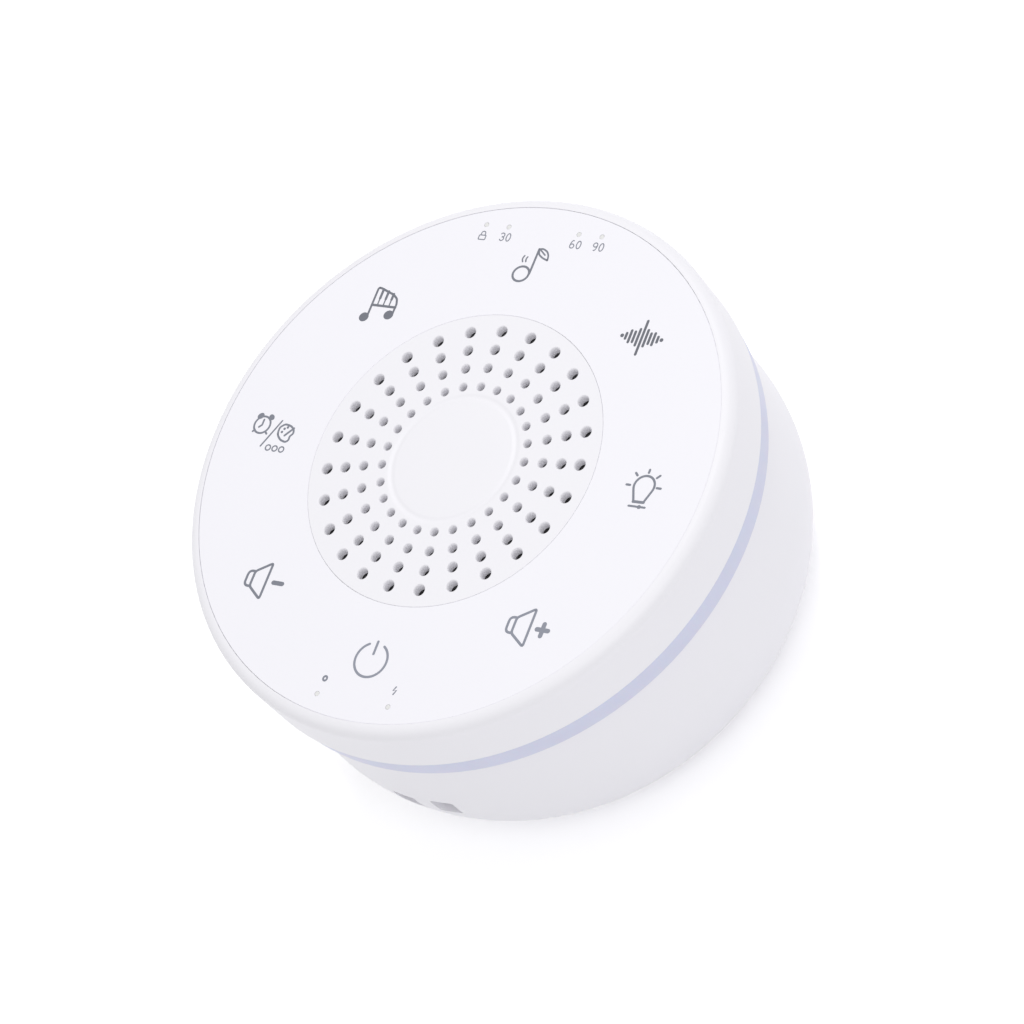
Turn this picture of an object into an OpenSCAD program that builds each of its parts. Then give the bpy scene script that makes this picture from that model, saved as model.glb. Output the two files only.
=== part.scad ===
// Round table-top sound machine: a touch panel around a drilled speaker grille,
// a light ring between two plastic shells, a speaker, two ring boards, a main
// board and a rechargeable cell.
// Millimetres. +Z is up, -Y is the front (the power key), and the origin is the
// centre of the foot ring's underside, on the table.

/* [Case] */
// Height from the table to the touch panel
case_h = 54; // [54:0.5:66]
// Largest radius, at the rim of the upper shell
case_r = 50.1; // [49.6:0.1:62]
// Wall of both shells
wall = 2; // [1.6:0.1:2.4]
// Radius of the rounded rim
rim_fillet = 2.1; // [1:0.1:3]
// How far the upper wall draws in below the rim
upper_draft = 0; // [0:0.1:1]
// Height of the upper shell's wall, rim included
upper_h = 10.8; // [10:0.1:13]
// Height of the lit band
band_h = 4.2; // [3.4:0.1:6]
// How far the band stands in from the wall above it
band_inset = 0.5; // [0:0.1:1]
// Step from the band in to the lower shell
band_step = 1.5; // [0.8:0.1:2.2]
// How far the lower wall swells between its top edge and the bowl
lower_swell = 0.5; // [0:0.1:1]
// Radius of the rounded bowl
bowl_r = 25.7; // [24:0.1:28]
// Height of the rounded bowl above the underside
bowl_h = 21.8; // [20:0.1:23]
// Radius that blends the bowl into the flat underside
base_fillet = 4; // [2:0.5:6]

/* [Touch panel and grille] */
// Thickness of the touch panel
panel_t = 1.6; // [1.2:0.1:2]
// How far the panel and the grille sit below the rim
panel_drop = 0.05; // [0:0.01:0.3]
// Thickness of the adhesive ring under the panel
tape_t = 0.2; // [0.1:0.05:0.3]
// Thickness of the deck under the panel
deck_t = 2; // [1.6:0.1:2.6]
// Gap along each seam of the flush top
seam_gap = 0.05; // [0.05:0.05:0.4]
// Holes in each ring of the grille
holes_per_ring = 25; // [20:1:28]
// Radius of a hole in the inner ring
hole_inner_r = 0.75; // [0.6:0.05:0.9]
// Radius of a hole in the outer ring
hole_outer_r = 1; // [0.8:0.05:1.2]
// Step between the rings of holes
ring_step = 3.5; // [3:0.1:4]
// Angle of the first column of holes
hole_turn = -81.3; // [-90:0.1:-75]
// Radius of the circle that the eight touch keys stand on
key_ring_r = 37; // [36:0.5:40]
// Radius of an indicator's pin hole
pin_hole_r = 0.45; // [0.4:0.05:0.7]
// X place of the middle of both indicator rows
indicator_x = -0.4; // [-1:0.1:1]
// Distance from that middle to the two nearer indicators of a row
near_indicator = 7.05; // [6:0.05:8]
// Distance from that middle to the two farther ones
far_indicator = 11.6; // [11:0.1:13]
// Y place of the timer and lock indicators
timer_y = 43.5; // [42.5:0.1:44]
// Y place of the two status indicators
status_y = -44.3; // [-44.5:0.1:-43]

/* [Speaker] */
// Radius of the speaker's mounting flange
speaker_r = 27.8; // [23:0.1:28.5]
// Thickness of the pressed steel frame
frame_t = 1; // [0.8:0.1:1.2]
// Thickness of the foam gasket
gasket_t = 1; // [0.6:0.1:1.5]
// Depth of the speaker's basket
basket_h = 12; // [11:0.5:14]
// Radius of the magnet
magnet_r = 18; // [15:0.5:19]
// Height of the magnet
magnet_h = 8; // [7:0.5:8.5]
// Radius of the pole piece
pole_r = 6; // [5:0.1:6.5]
// Travel of the cone each way
cone_travel = 1.2; // [0.8:0.1:1.5]

/* [Strap eye and charging socket] */
// Width of each mouth of the strap eye
eye_mouth_w = 4.6; // [4.6:0.1:6]
// Height of each mouth
eye_mouth_h = 4.2; // [4.2:0.1:5]
// Width of the bar between the mouths
eye_bar_w = 3.8; // [3.6:0.1:6]
// Thickness of the bar
eye_bar_t = 2.2; // [1.6:0.1:2.6]
// Room for a strap behind the bar
eye_gap = 3.2; // [2.4:0.1:3.6]
// X place of the bar's middle
eye_x = -2.2; // [-4:0.1:4]
// Height of the right mouth's middle above the table
eye_z = 21.9; // [21.5:0.1:26]
// How much lower the left mouth sits
eye_skew = 1; // [0:0.1:1.2]
// Width of the charging socket
usb_w = 8.94; // [8.9:0.01:9]
// Height of the charging socket
usb_h = 3.26; // [3.2:0.01:3.3]
// Length of the charging socket
usb_l = 7.3; // [6.8:0.1:8]

/* [Boards and cell] */
// Radius of the main board
board_r = 40; // [38:0.5:41]
// Thickness of the boards
board_t = 1.6; // [1:0.1:1.8]
// Thickness of the two ring boards
ring_board_t = 1.2; // [0.8:0.1:1.6]
// Height of the main board's standoffs
standoff_h = 10; // [9.6:0.1:12]
// Number of lamps behind the light ring
lamp_count = 12; // [8:4:16]
// Length of the cell
cell_l = 44.4; // [30:0.1:46]
// Width of the cell
cell_w = 34; // [20:0.5:35]
// Thickness of the cell
cell_t = 8; // [5:0.1:9.8]
// Height of a touch key's spring
key_spring_h = 3.4; // [3:0.1:4]

/* [Feet and screws] */
// How far the foot ring stands out of the underside
foot_proud = 1.2; // [0.8:0.1:2]
// Width of the foot ring
foot_w = 6.4; // [6.2:0.1:6.8]
// Outer radius of the posts that take the shell screws
post_r = 4.2; // [4:0.1:4.4]
// Shank radius of the shell screws
shell_screw_r = 1.15; // [1:0.05:1.3]
// Shank radius of the small screws
small_screw_r = 0.95; // [0.8:0.05:1]

/* [Hidden] */
$fn = 96;

// Small lengths that cuts run past a face by
past = 0.5;
// Clearances: loose parts, moving parts, a screw's shank in its hole and at its tip
loose = 0.3;
air = 0.35;
thread_gap = 0.05;
tip_gap = 0.4;
// Clearance of a screw's shank through a board or flange
pass_gap = 0.2;
// Depth that ribs and bosses sink into the wall they grow from
merge = 0.4;
// Clearance round a post or boss where it passes a board
post_gap = 0.6;

// Finish colours
white = [0.95, 0.95, 0.97];
panel_white = [0.97, 0.97, 0.98];
band_tint = [0.78, 0.8, 0.9];
grey_rubber = [0.75, 0.76, 0.78];
board_green = [0.1, 0.4, 0.24];
black = [0.12, 0.12, 0.13];
steel = [0.7, 0.7, 0.72];
tin = [0.8, 0.8, 0.82];
ferrite = [0.2, 0.2, 0.21];
copper = [0.75, 0.42, 0.22];
cream = [0.93, 0.9, 0.8];
foam_grey = [0.3, 0.3, 0.32];

// Levels, from the table up
z_base = foot_proud;
groove_d = 1;
floor_t = 2.4;
z_floor = z_base + floor_t;
z_arc = z_base + bowl_h;
z_split = case_h - upper_h;
z_band = z_split - band_h;
z_top = case_h - panel_drop;
z_panel = z_top - panel_t;
z_deck_top = z_panel - tape_t;
z_deck = z_deck_top - deck_t;

// Chamfer on each side of a seam of the top
seam_edge = 0.06;

// Radii of the case
upper_foot_r = case_r - upper_draft;
band_r = upper_foot_r - band_inset;
lower_top_r = band_r - band_step;
bulge_r = lower_top_r + lower_swell;
bowl_x = bulge_r - bowl_r;
pocket_r = case_r - rim_fillet - 0.1;
panel_r = pocket_r - seam_gap;
upper_in_r = upper_foot_r - wall - 0.4;

// Radius of the lower shell at a height, drawn in by an inset
function bowl_radius(z, inset) =
    z < z_arc
    ? bowl_x + sqrt(pow(bowl_r - inset, 2) - pow(z_arc - z, 2))
    : bulge_r - inset - lower_swell * (z - z_arc) / (z_band - z_arc);

// Speaker stack, from the deck down
speaker_wall_t = 1.6;
speaker_wall_h = 3;
deck_open_r = speaker_r - speaker_wall_t;
z_gasket_top = z_deck - speaker_wall_h;
z_flange_top = z_gasket_top - gasket_t;
z_flange = z_flange_top - frame_t;
z_basket_foot = z_flange - basket_h + frame_t;
top_plate_t = 3;
yoke_t = 3;
z_top_plate = z_basket_foot - top_plate_t;
z_magnet = z_top_plate - magnet_h;
z_yoke = z_magnet - yoke_t;
yoke_r = magnet_r - 2;
coil_in_r = pole_r + air;
former_t = 0.15;
former_r = coil_in_r + former_t;
winding_r = former_r + air;
gap_r = winding_r + air;
cone_top_r = speaker_r - 6.9;
cone_skin = 0.5;
basket_foot_r = magnet_r - 1;
basket_in_r = basket_foot_r - frame_t;
ledge_in_r = basket_in_r - 1.2;
z_ledge = z_basket_foot + 2.4;
z_cone_foot = z_ledge + cone_travel;
terminal_r = speaker_r - 1.4;
terminal_plate = [1.2, 9, 5];
z_terminal = z_flange - terminal_plate[2];
tab_drop = 1;
ear_r = 3.5;
ear_boss_r = 3.2;
ear_place_r = speaker_r + ear_r;

// Grille
ring_count = 4;
ledge_w = 0.85;
grille_r = deck_open_r + ledge_w;
hole_ring_r = speaker_r - 3.8;
groove_ring_r = hole_ring_r - (ring_count - 1) * ring_step - 2.1;
skirt_r = deck_open_r - loose;
skirt_t = 0.6;
skirt_h = 2.8;
cloth_t = 0.3;

// Indicators: the row behind the grille and the pair by the power key
timer_x = [for (x = [-far_indicator, -near_indicator, near_indicator, far_indicator]) indicator_x + x];
status_x = [for (x = [-near_indicator, near_indicator]) indicator_x + x];

// Battery
cell = [cell_l, cell_w, cell_t];
pad_t = 0.4;
guard = [3.2, 26, 3];
guard_gap = 0.2;
cell_x = -(guard[0] + guard_gap) / 2;
z_cell = z_floor + pad_t;
cell_end_x = cell_x + cell[0] / 2;
guard_x = cell_end_x + guard_gap;
guard_end_x = guard_x + guard[0];
z_guard = z_cell + 2.5;
fence_t = 1.2;
fence_h = 4.4;
fence_l = 6;
fence_gap = 0.4;
cell_reach = max(cell[0] / 2 - cell_x, guard_end_x) + fence_gap;

// Shell posts and screws, between the keys
upper_post_r = 3.3;
half_step = 22.5;
post_ring_r = max(speaker_r + 0.7 + upper_post_r, (cell_reach + post_r) / cos(half_step));
post_angles = [for (i = [0 : 3]) half_step + 90 * i];
ear_angles = [for (i = [0 : 3]) 3 * half_step + 90 * i];
window_angles = [45, 135, 225, 315];
key_angles = [for (i = [0 : 7]) 45 * i];
z_post_split = z_band - 2.8;
z_shoulder = z_post_split - 8;
head_bore_r = 2.8;
shell_head_r = 2.5;
shell_head_h = 2.2;
shell_screw_l = 16;
small_head_r = 1.9;
small_head_h = 1.4;
ear_head_r = 2.2;
ear_head_h = 1.6;
ear_screw_l = 5.6;
foot_in_r = post_ring_r - foot_w / 2;
foot_out_r = post_ring_r + foot_w / 2;

// Light ring: a band with one tongue inside each shell
lip_t = 1.2;
lip_h = 2.9;
lower_tongue_h = 2.6;
tongue_r = lower_top_r - lip_t - loose;
ring_in_r = tongue_r - 1.5;

// Lamp board
lamp_board_r = ring_in_r - 1.1;
lamp_board_w = 5.9;
lamp_mid_r = lamp_board_r - 2.9;
lamp_board_in_r = lamp_board_r - lamp_board_w;
z_lamp_board = z_band + 0.8;
lamp_boss_r = 2.4;
lamp_boss_h = 10.6;
lamp_screw_l = 6;
rib_t = 1.6;
lamp_angles = [0, 90, 180, 270];
lamp = [4, 1.6, 1.5];

// Touch board, hung under the deck
z_touch_top = z_deck - key_spring_h;
z_touch = z_touch_top - ring_board_t;
tongue_h = min(2.2, z_touch - z_split - air);
touch_in_r = post_ring_r - 0.8;
touch_out_r = upper_in_r - 0.8;
touch_boss_r = 2.5;
touch_screw_r = key_ring_r + 4;
touch_screw_l = 5.2;
indicator = [1.6, 0.8, 0.6];
guide_bar = [2.2, 1.2];
guide_pin_r = 0.8;
guide_tip_r = pin_hole_r - 0.05;
guide_tip_drop = 0.03;

// Main board on its standoffs
z_board = max(z_floor + standoff_h, z_cell + cell[2] + air);
z_board_top = z_board + board_t;
standoff_r = 3;
standoff_ring_r = max(board_r - 6, (cell_reach + standoff_r) / cos(half_step));
board_screw_l = 6;
tab_w = 12;
usb_z = z_board_top + usb_h / 2;
usb_pocket = [12.6, 6.6, 0.65];
usb_pocket_y = bowl_radius(usb_z, 0) - usb_pocket[2];
usb_mouth_y = usb_pocket_y - 0.2;
usb_sheet_t = 0.3;
usb_back_t = 1.2;
usb_tongue_size = [6.7, 4.8, 0.7];
tab_y = bowl_radius(z_board, wall) - 1.2;
slot = [4, 7];
slot_x = 28.6;

// Strap eye: two mouths, and a way between them behind a bar
eye_y = -bowl_radius(eye_z, 0);
eye_wall = 1.4;
eye_corner_r = 0.5;
eye_back_y = eye_y + eye_bar_t + eye_gap;
eye_half_w = eye_bar_w / 2 + eye_mouth_w;

// Leads and their plugs: [angle, radius, ways]
lead_r = 0.6;
lead_sides = 8;
pitch = 1.5;
header_d = 4.6;
header_h = 4;
header_wall = 0.7;
plug_over = 2;
plug_gap = 0.1;
speaker_port = [180, 26, 2];
battery_port = [0, 22.5, 2];
touch_port = [315, board_r - 5, 5];
lamp_port = [232, board_r - 5, 4];
touch_head_r = touch_in_r + 4;
lamp_head_r = lamp_board_r - 3;
z_lead_foot = z_board_top + header_h + plug_over;

// ---------- helpers ----------

// Copies of the children on a circle, each turned to face outwards
module around(angles, r) {
    for (a = angles)
        rotate([0, 0, a])
            translate([r, 0, 0])
                children();
}

// Upright ring between two radii
module ring(r_in, r_out, z, h) {
    translate([0, 0, z])
        difference() {
            cylinder(r = r_out, h = h);
            translate([0, 0, -past])
                cylinder(r = r_in, h = h + 2 * past);
        }
}

// Box centred in X and Y that stands at a height
module block(size, x, y, z) {
    translate([x - size[0] / 2, y - size[1] / 2, z])
        cube(size);
}

// Bar along Y with a rounded-rectangle section, centred on X and Z
module slot_y(w, h, corner, y0, y1) {
    translate([0, y1, 0])
        rotate([90, 0, 0])
            linear_extrude(y1 - y0)
                union() {
                    square([w - 2 * corner, h], center = true);
                    square([w, h - 2 * corner], center = true);
                    for (sx = [-1, 1])
                        for (sz = [-1, 1])
                            translate([sx * (w / 2 - corner), sz * (h / 2 - corner)])
                                circle(r = corner);
                }
}

// Pan-head screw with its head's seat at z = 0, pointing down
module screw(head_r, head_h, shank_r, length) {
    recess_w = head_r * 0.32;
    recess_l = head_r * 1.2;
    difference() {
        union() {
            intersection() {
                cylinder(r = head_r, h = head_h);
                translate([0, 0, head_h - head_r * 1.9])
                    sphere(r = head_r * 1.9);
            }
            translate([0, 0, -length])
                cylinder(r = shank_r, h = length + past);
        }
        for (turn = [0, 90])
            rotate([0, 0, turn])
                block([recess_l, recess_w, head_h], 0, 0, head_h * 0.45);
    }
}

// Unit vector
function unit(v) = v / norm(v);

// Point on a quadratic B-spline: three neighbouring control points and a share
function blend_point(a, b, c, t) =
    (pow(1 - t, 2) * a + (1 + 2 * t - 2 * t * t) * b + t * t * c) / 2;

// Smooth route that follows a hand-laid row of points: straight from each end to
// the middle of the first stretch, and a curve between the other middles
function smooth(points, steps) =
    let (last = len(points) - 1)
    concat(
        [points[0]],
        [for (i = [0 : last - 2])
            for (s = [0 : steps - 1])
                blend_point(points[i], points[i + 1], points[i + 2], s / steps)],
        [(points[last - 1] + points[last]) / 2],
        [points[last]]);

// Tube along a route: rings of points square to it, joined by triangles
module tube(route, r, sides, side_on) {
    count = len(route);
    function along(i) = unit(route[min(i + 1, count - 1)] - route[max(i - 1, 0)]);
    rings = [
        for (i = [0 : count - 1])
            let (t = along(i), u = unit(cross(side_on, t)), v = cross(t, u))
            for (k = [0 : sides - 1])
                route[i] + r * (cos(360 * k / sides) * u + sin(360 * k / sides) * v)
    ];
    faces = concat(
        [[for (k = [sides - 1 : -1 : 0]) k]],
        [for (i = [0 : count - 2])
            for (k = [0 : sides - 1])
                let (a = i * sides + k, b = i * sides + (k + 1) % sides)
                for (half = [0, 1])
                    half == 0 ? [a, b, b + sides] : [a, b + sides, a + sides]],
        [[for (k = [0 : sides - 1]) (count - 1) * sides + k]]);
    // OpenSCAD wants faces clockwise from outside
    polyhedron(points = rings, faces = [for (f = faces) [for (k = [len(f) - 1 : -1 : 0]) f[k]]]);
}

// ---------- case ----------

// Half section of the lower shell's solid shape, drawn in by an inset
module bowl_section(inset, bottom, top) {
    arc_r = bowl_r - inset;
    translate([0, bottom])
        square([bowl_x, z_arc - bottom]);
    intersection() {
        translate([bowl_x, z_arc])
            circle(r = arc_r);
        translate([bowl_x, bottom])
            square([arc_r, z_arc - bottom]);
    }
    polygon([
        [0, z_arc],
        [bulge_r - inset, z_arc],
        [lower_top_r - inset, top],
        [0, top]
    ]);
}

// What the rounded edge of the underside takes off the bowl
module base_edge_cut() {
    reach = bowl_r - base_fillet;
    drop = z_arc - z_base - base_fillet;
    mid_x = bowl_x + sqrt(reach * reach - drop * drop);
    mid_z = z_base + base_fillet;
    way = unit([mid_x - bowl_x, mid_z - z_arc]);
    difference() {
        polygon([
            [mid_x, mid_z],
            [mid_x, z_base - past],
            [mid_x + 2 * base_fillet, z_base - past],
            [mid_x, mid_z] + 2 * base_fillet * way
        ]);
        translate([mid_x, mid_z])
            circle(r = base_fillet);
    }
}

module lower_body(inset) {
    rotate_extrude()
        difference() {
            bowl_section(inset, z_base + inset, z_band);
            if (inset == 0)
                base_edge_cut();
        }
}

module lower_cavity() {
    rotate_extrude()
        bowl_section(wall, z_floor, z_band + past);
    translate([0, 0, z_band - lip_h])
        cylinder(r = lower_top_r - lip_t, h = lip_h + past);
}

// Posts, standoffs, ribs and pockets that grow from the lower shell's wall
module lower_inner_parts() {
    around(post_angles, post_ring_r)
        translate([0, 0, z_base + groove_d])
            cylinder(r = post_r, h = z_post_split - z_base - groove_d);
    around(ear_angles, standoff_ring_r)
        translate([0, 0, z_floor - merge])
            cylinder(r = standoff_r, h = z_board - z_floor + merge);
    around(lamp_angles, lamp_mid_r) {
        translate([0, 0, z_lamp_board - lamp_boss_h])
            cylinder(r = lamp_boss_r, h = lamp_boss_h);
        translate([0, -rib_t / 2, z_lamp_board - lamp_boss_h])
            cube([lower_top_r - lamp_mid_r, rib_t, z_band - lip_h - z_lamp_board + lamp_boss_h]);
    }
    battery_fence();
    block(
        [2 * (eye_half_w + eye_wall), eye_back_y + eye_wall - eye_y,
         eye_mouth_h + eye_skew + 2 * eye_wall],
        eye_x, (eye_y + eye_back_y + eye_wall) / 2, eye_z - eye_mouth_h / 2 - eye_skew - eye_wall);
}

// Low corner walls that keep the cell in place
module battery_fence() {
    left = cell_x - cell[0] / 2 - fence_gap;
    right = guard_end_x + fence_gap;
    half = cell[1] / 2 + fence_gap;
    for (side = [-1, 1]) {
        translate([left - fence_t, side > 0 ? half - fence_l : -half, z_floor - merge])
            cube([fence_t, fence_l, fence_h]);
        translate([right, side > 0 ? half - fence_l : -half, z_floor - merge])
            cube([fence_t, fence_l, fence_h]);
        for (x = [left - fence_t, right + fence_t - fence_l])
            translate([x, side > 0 ? half : -half - fence_t, z_floor - merge])
                cube([fence_l, fence_t, fence_h]);
    }
}

// The strap eye's two mouths and the way behind its bar
module strap_eye_cut() {
    mouth_mid = (eye_bar_w + eye_mouth_w) / 2;
    inset = 0.05;
    for (side = [-1, 1])
        translate([eye_x + side * mouth_mid, 0, side > 0 ? eye_z : eye_z - eye_skew])
            slot_y(eye_mouth_w, eye_mouth_h, eye_corner_r, eye_y - 3, eye_back_y);
    block([2 * eye_half_w - 2 * eye_corner_r, eye_gap, eye_mouth_h - eye_skew - 2 * inset],
          eye_x, eye_back_y - eye_gap / 2, eye_z - eye_mouth_h / 2 + inset);
}

module lower_shell() {
    color(white)
        difference() {
            union() {
                difference() {
                    lower_body(0);
                    lower_cavity();
                }
                intersection() {
                    lower_inner_parts();
                    union() {
                        lower_body(0.6);
                        around(lamp_angles, lamp_mid_r)
                            translate([0, 0, z_band - 1])
                                cylinder(r = lamp_boss_r, h = z_lamp_board - z_band + 1);
                    }
                }
            }
            ring(foot_in_r - 0.1, foot_out_r + 0.1, z_base - past, groove_d + past);
            around(post_angles, post_ring_r) {
                translate([0, 0, z_base])
                    cylinder(r = head_bore_r, h = z_shoulder - z_base);
                translate([0, 0, z_base])
                    cylinder(r = shell_screw_r + loose, h = z_post_split);
            }
            around(ear_angles, standoff_ring_r)
                translate([0, 0, z_board - board_screw_l])
                    cylinder(r = small_screw_r + thread_gap, h = board_screw_l + past);
            around(lamp_angles, lamp_mid_r)
                translate([0, 0, z_lamp_board - lamp_screw_l])
                    cylinder(r = small_screw_r + thread_gap, h = lamp_screw_l + past);
            translate([0, 0, usb_z]) {
                slot_y(usb_w + 2 * loose, usb_h + 2 * loose, usb_h / 2 + loose - 0.01,
                       usb_pocket_y - wall - 3, case_r);
                slot_y(usb_pocket[0], usb_pocket[1], usb_pocket[1] / 2 - 0.01,
                       usb_pocket_y, case_r);
            }
            strap_eye_cut();
        }
}

module foot_ring() {
    color(grey_rubber)
        rotate_extrude()
            polygon([
                [foot_in_r, groove_d + foot_proud],
                [foot_in_r, 0.4],
                [foot_in_r + 0.4, 0],
                [foot_out_r - 0.4, 0],
                [foot_out_r, 0.4],
                [foot_out_r, groove_d + foot_proud]
            ]);
}

module light_ring() {
    color(band_tint)
        rotate_extrude()
            polygon([
                [ring_in_r, z_band - lower_tongue_h],
                [tongue_r, z_band - lower_tongue_h],
                [tongue_r, z_band],
                [band_r, z_band],
                [band_r, z_split],
                [upper_in_r - loose, z_split],
                [upper_in_r - loose, z_split + tongue_h],
                [ring_in_r, z_split + tongue_h]
            ]);
}

// Half section of the upper shell's outer shape, with its rounded rim
module cap_section() {
    z_rim = case_h - rim_fillet;
    polygon([[0, z_split], [upper_foot_r, z_split], [case_r, z_rim], [0, z_rim]]);
    translate([0, z_rim])
        square([case_r - rim_fillet, rim_fillet]);
    intersection() {
        translate([case_r - rim_fillet, z_rim])
            circle(r = rim_fillet);
        translate([case_r - rim_fillet, z_rim])
            square(rim_fillet);
    }
}

module upper_shell() {
    color(white)
        difference() {
            union() {
                rotate_extrude()
                    difference() {
                        cap_section();
                        polygon([
                            [0, z_split - past],
                            [upper_in_r, z_split - past],
                            [upper_in_r + upper_draft, z_deck],
                            [0, z_deck]
                        ]);
                        translate([0, z_deck - past])
                            square([deck_open_r, case_h]);
                        translate([0, z_deck_top])
                            square([pocket_r, case_h]);
                    }
                ring(deck_open_r, speaker_r, z_gasket_top, z_deck - z_gasket_top + past);
                around(post_angles, post_ring_r)
                    translate([0, 0, z_post_split])
                        cylinder(r = upper_post_r, h = z_deck - z_post_split + past);
                around(ear_angles, ear_place_r)
                    translate([0, 0, z_flange_top])
                        cylinder(r = ear_boss_r, h = z_deck - z_flange_top + past);
                around(post_angles, touch_screw_r)
                    translate([0, 0, z_touch_top])
                        cylinder(r = touch_boss_r, h = z_deck - z_touch_top + past);
            }
            around(post_angles, post_ring_r)
                translate([0, 0, z_shoulder])
                    cylinder(r = shell_screw_r + thread_gap, h = shell_screw_l + tip_gap);
            around(ear_angles, ear_place_r)
                translate([0, 0, z_flange])
                    cylinder(r = small_screw_r + thread_gap, h = ear_screw_l + tip_gap);
            around(post_angles, touch_screw_r)
                translate([0, 0, z_touch])
                    cylinder(r = small_screw_r + thread_gap, h = touch_screw_l + tip_gap);
            indicator_places()
                translate([0, 0, z_deck - past])
                    cylinder(r = guide_pin_r + 0.15, h = deck_t + 2 * past);
        }
}

module shell_screws() {
    color(steel)
        around(post_angles, post_ring_r)
            translate([0, 0, z_shoulder])
                rotate([180, 0, 0])
                    screw(shell_head_r, shell_head_h, shell_screw_r, shell_screw_l);
}

// ---------- top face ----------

module indicator_places() {
    for (x = timer_x)
        translate([x, timer_y, 0])
            children();
    for (x = status_x)
        translate([x, status_y, 0])
            children();
}

module touch_panel() {
    in_r = grille_r + seam_gap;
    color(panel_white)
        difference() {
            rotate_extrude()
                polygon([
                    [in_r, z_panel],
                    [panel_r, z_panel],
                    [panel_r, z_top - seam_edge],
                    [panel_r - seam_edge, z_top],
                    [in_r + seam_edge, z_top],
                    [in_r, z_top - seam_edge]
                ]);
            indicator_places()
                translate([0, 0, z_panel - past])
                    cylinder(r = pin_hole_r, h = panel_t + 2 * past);
        }
}

module panel_adhesive() {
    color(cream)
        difference() {
            ring(grille_r + 1, panel_r - 0.6, z_deck_top, tape_t);
            indicator_places()
                translate([0, 0, z_deck_top - past])
                    cylinder(r = guide_pin_r + 0.4, h = tape_t + 2 * past);
        }
}

module speaker_grille() {
    dip_w = 0.6;
    dip_d = 0.14;
    color(white)
        difference() {
            union() {
                rotate_extrude()
                    difference() {
                        polygon([
                            [0, z_deck_top],
                            [grille_r, z_deck_top],
                            [grille_r, z_top - seam_edge],
                            [grille_r - seam_edge, z_top],
                            [0, z_top]
                        ]);
                        polygon([
                            [groove_ring_r - dip_w, z_top + past],
                            [groove_ring_r - dip_w, z_top],
                            [groove_ring_r - dip_w / 2, z_top - 0.75 * dip_d],
                            [groove_ring_r, z_top - dip_d],
                            [groove_ring_r + dip_w / 2, z_top - 0.75 * dip_d],
                            [groove_ring_r + dip_w, z_top],
                            [groove_ring_r + dip_w, z_top + past]
                        ]);
                    }
                ring(skirt_r - skirt_t, skirt_r, z_deck_top - skirt_h, skirt_h + 0.2);
            }
            for (ring_no = [0 : ring_count - 1]) {
                share = ring_no / (ring_count - 1);
                hole_r = hole_inner_r + share * (hole_outer_r - hole_inner_r);
                radius = hole_ring_r - (ring_count - 1 - ring_no) * ring_step;
                for (i = [0 : holes_per_ring - 1])
                    rotate([0, 0, hole_turn + 360 * i / holes_per_ring])
                        translate([radius, 0, z_deck_top - past])
                            cylinder(r = hole_r, h = case_h, $fn = 24);
            }
        }
}

module grille_cloth() {
    color(black)
        translate([0, 0, z_deck_top - cloth_t])
            cylinder(r = skirt_r - skirt_t - 0.3, h = cloth_t);
}

// ---------- touch board ----------

module touch_board() {
    color(board_green)
        difference() {
            ring(touch_in_r, touch_out_r, z_touch, ring_board_t);
            around(post_angles, post_ring_r)
                translate([0, 0, z_touch - past])
                    cylinder(r = upper_post_r + post_gap, h = ring_board_t + 2 * past);
            around(ear_angles, ear_place_r)
                translate([0, 0, z_touch - past])
                    cylinder(r = ear_r + post_gap, h = ring_board_t + 2 * past);
            around(post_angles, touch_screw_r)
                translate([0, 0, z_touch - past])
                    cylinder(r = small_screw_r + pass_gap, h = ring_board_t + 2 * past);
        }
}

// One coil spring that stands on the touch board and presses on the deck
module key_spring() {
    turns = 4;
    steps = 12;
    coil_r = 2.2;
    wire_r = 0.25;
    rise = key_spring_h - 2 * wire_r - 0.02;
    route = [
        for (i = [0 : turns * steps])
            [
                coil_r * cos(360 * i / steps),
                coil_r * sin(360 * i / steps),
                wire_r + 0.01 + rise * i / (turns * steps)
            ]
    ];
    tube(route, wire_r, 6, [0, 0, 1]);
}

module touch_springs() {
    color(steel)
        around(key_angles, key_ring_r)
            translate([0, 0, z_touch_top])
                key_spring();
}

// Small outline chip with its legs, standing on a board at z = 0
module leg_chip(l, w, h, legs) {
    block([l, w, h], 0, 0, 0.1);
    for (side = [-1, 1])
        for (i = [0 : legs - 1])
            block([0.4, 1, 0.3], (i - (legs - 1) / 2) * 1.27, side * (w / 2 + 0.3), 0);
}

module touch_chip() {
    color(black)
        rotate([0, 0, 157.5])
            translate([key_ring_r + 4, 0, z_touch])
                rotate([180, 0, 90])
                    leg_chip(10, 3.9, 1.5, 8);
}

module touch_board_screws() {
    color(steel)
        around(post_angles, touch_screw_r)
            translate([0, 0, z_touch])
                rotate([180, 0, 0])
                    screw(small_head_r, small_head_h, small_screw_r, touch_screw_l);
}

module indicator_lamps() {
    color(cream)
        indicator_places()
            block(indicator, 0, 0, z_touch_top);
}

// Clear bar under the deck with a stepped pin up to each pin hole
module light_guide(places, y) {
    first = places[0];
    last = places[len(places) - 1];
    bar_z = z_deck - guide_bar[1];
    block([last - first + guide_bar[0], guide_bar[0], guide_bar[1]],
          (first + last) / 2, y, bar_z);
    for (x = places)
        translate([x, y, 0]) {
            translate([0, 0, z_touch_top + indicator[2] + loose])
                cylinder(r = guide_pin_r, h = z_panel - z_touch_top - indicator[2] - 2 * loose);
            translate([0, 0, z_deck])
                cylinder(r = guide_tip_r, h = z_top - z_deck - guide_tip_drop);
        }
}

module timer_light_guide() {
    color([0.85, 0.87, 0.88])
        light_guide(timer_x, timer_y);
}

module status_light_guide() {
    color([0.85, 0.87, 0.88])
        light_guide(status_x, status_y);
}

// ---------- lamp board ----------

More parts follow.
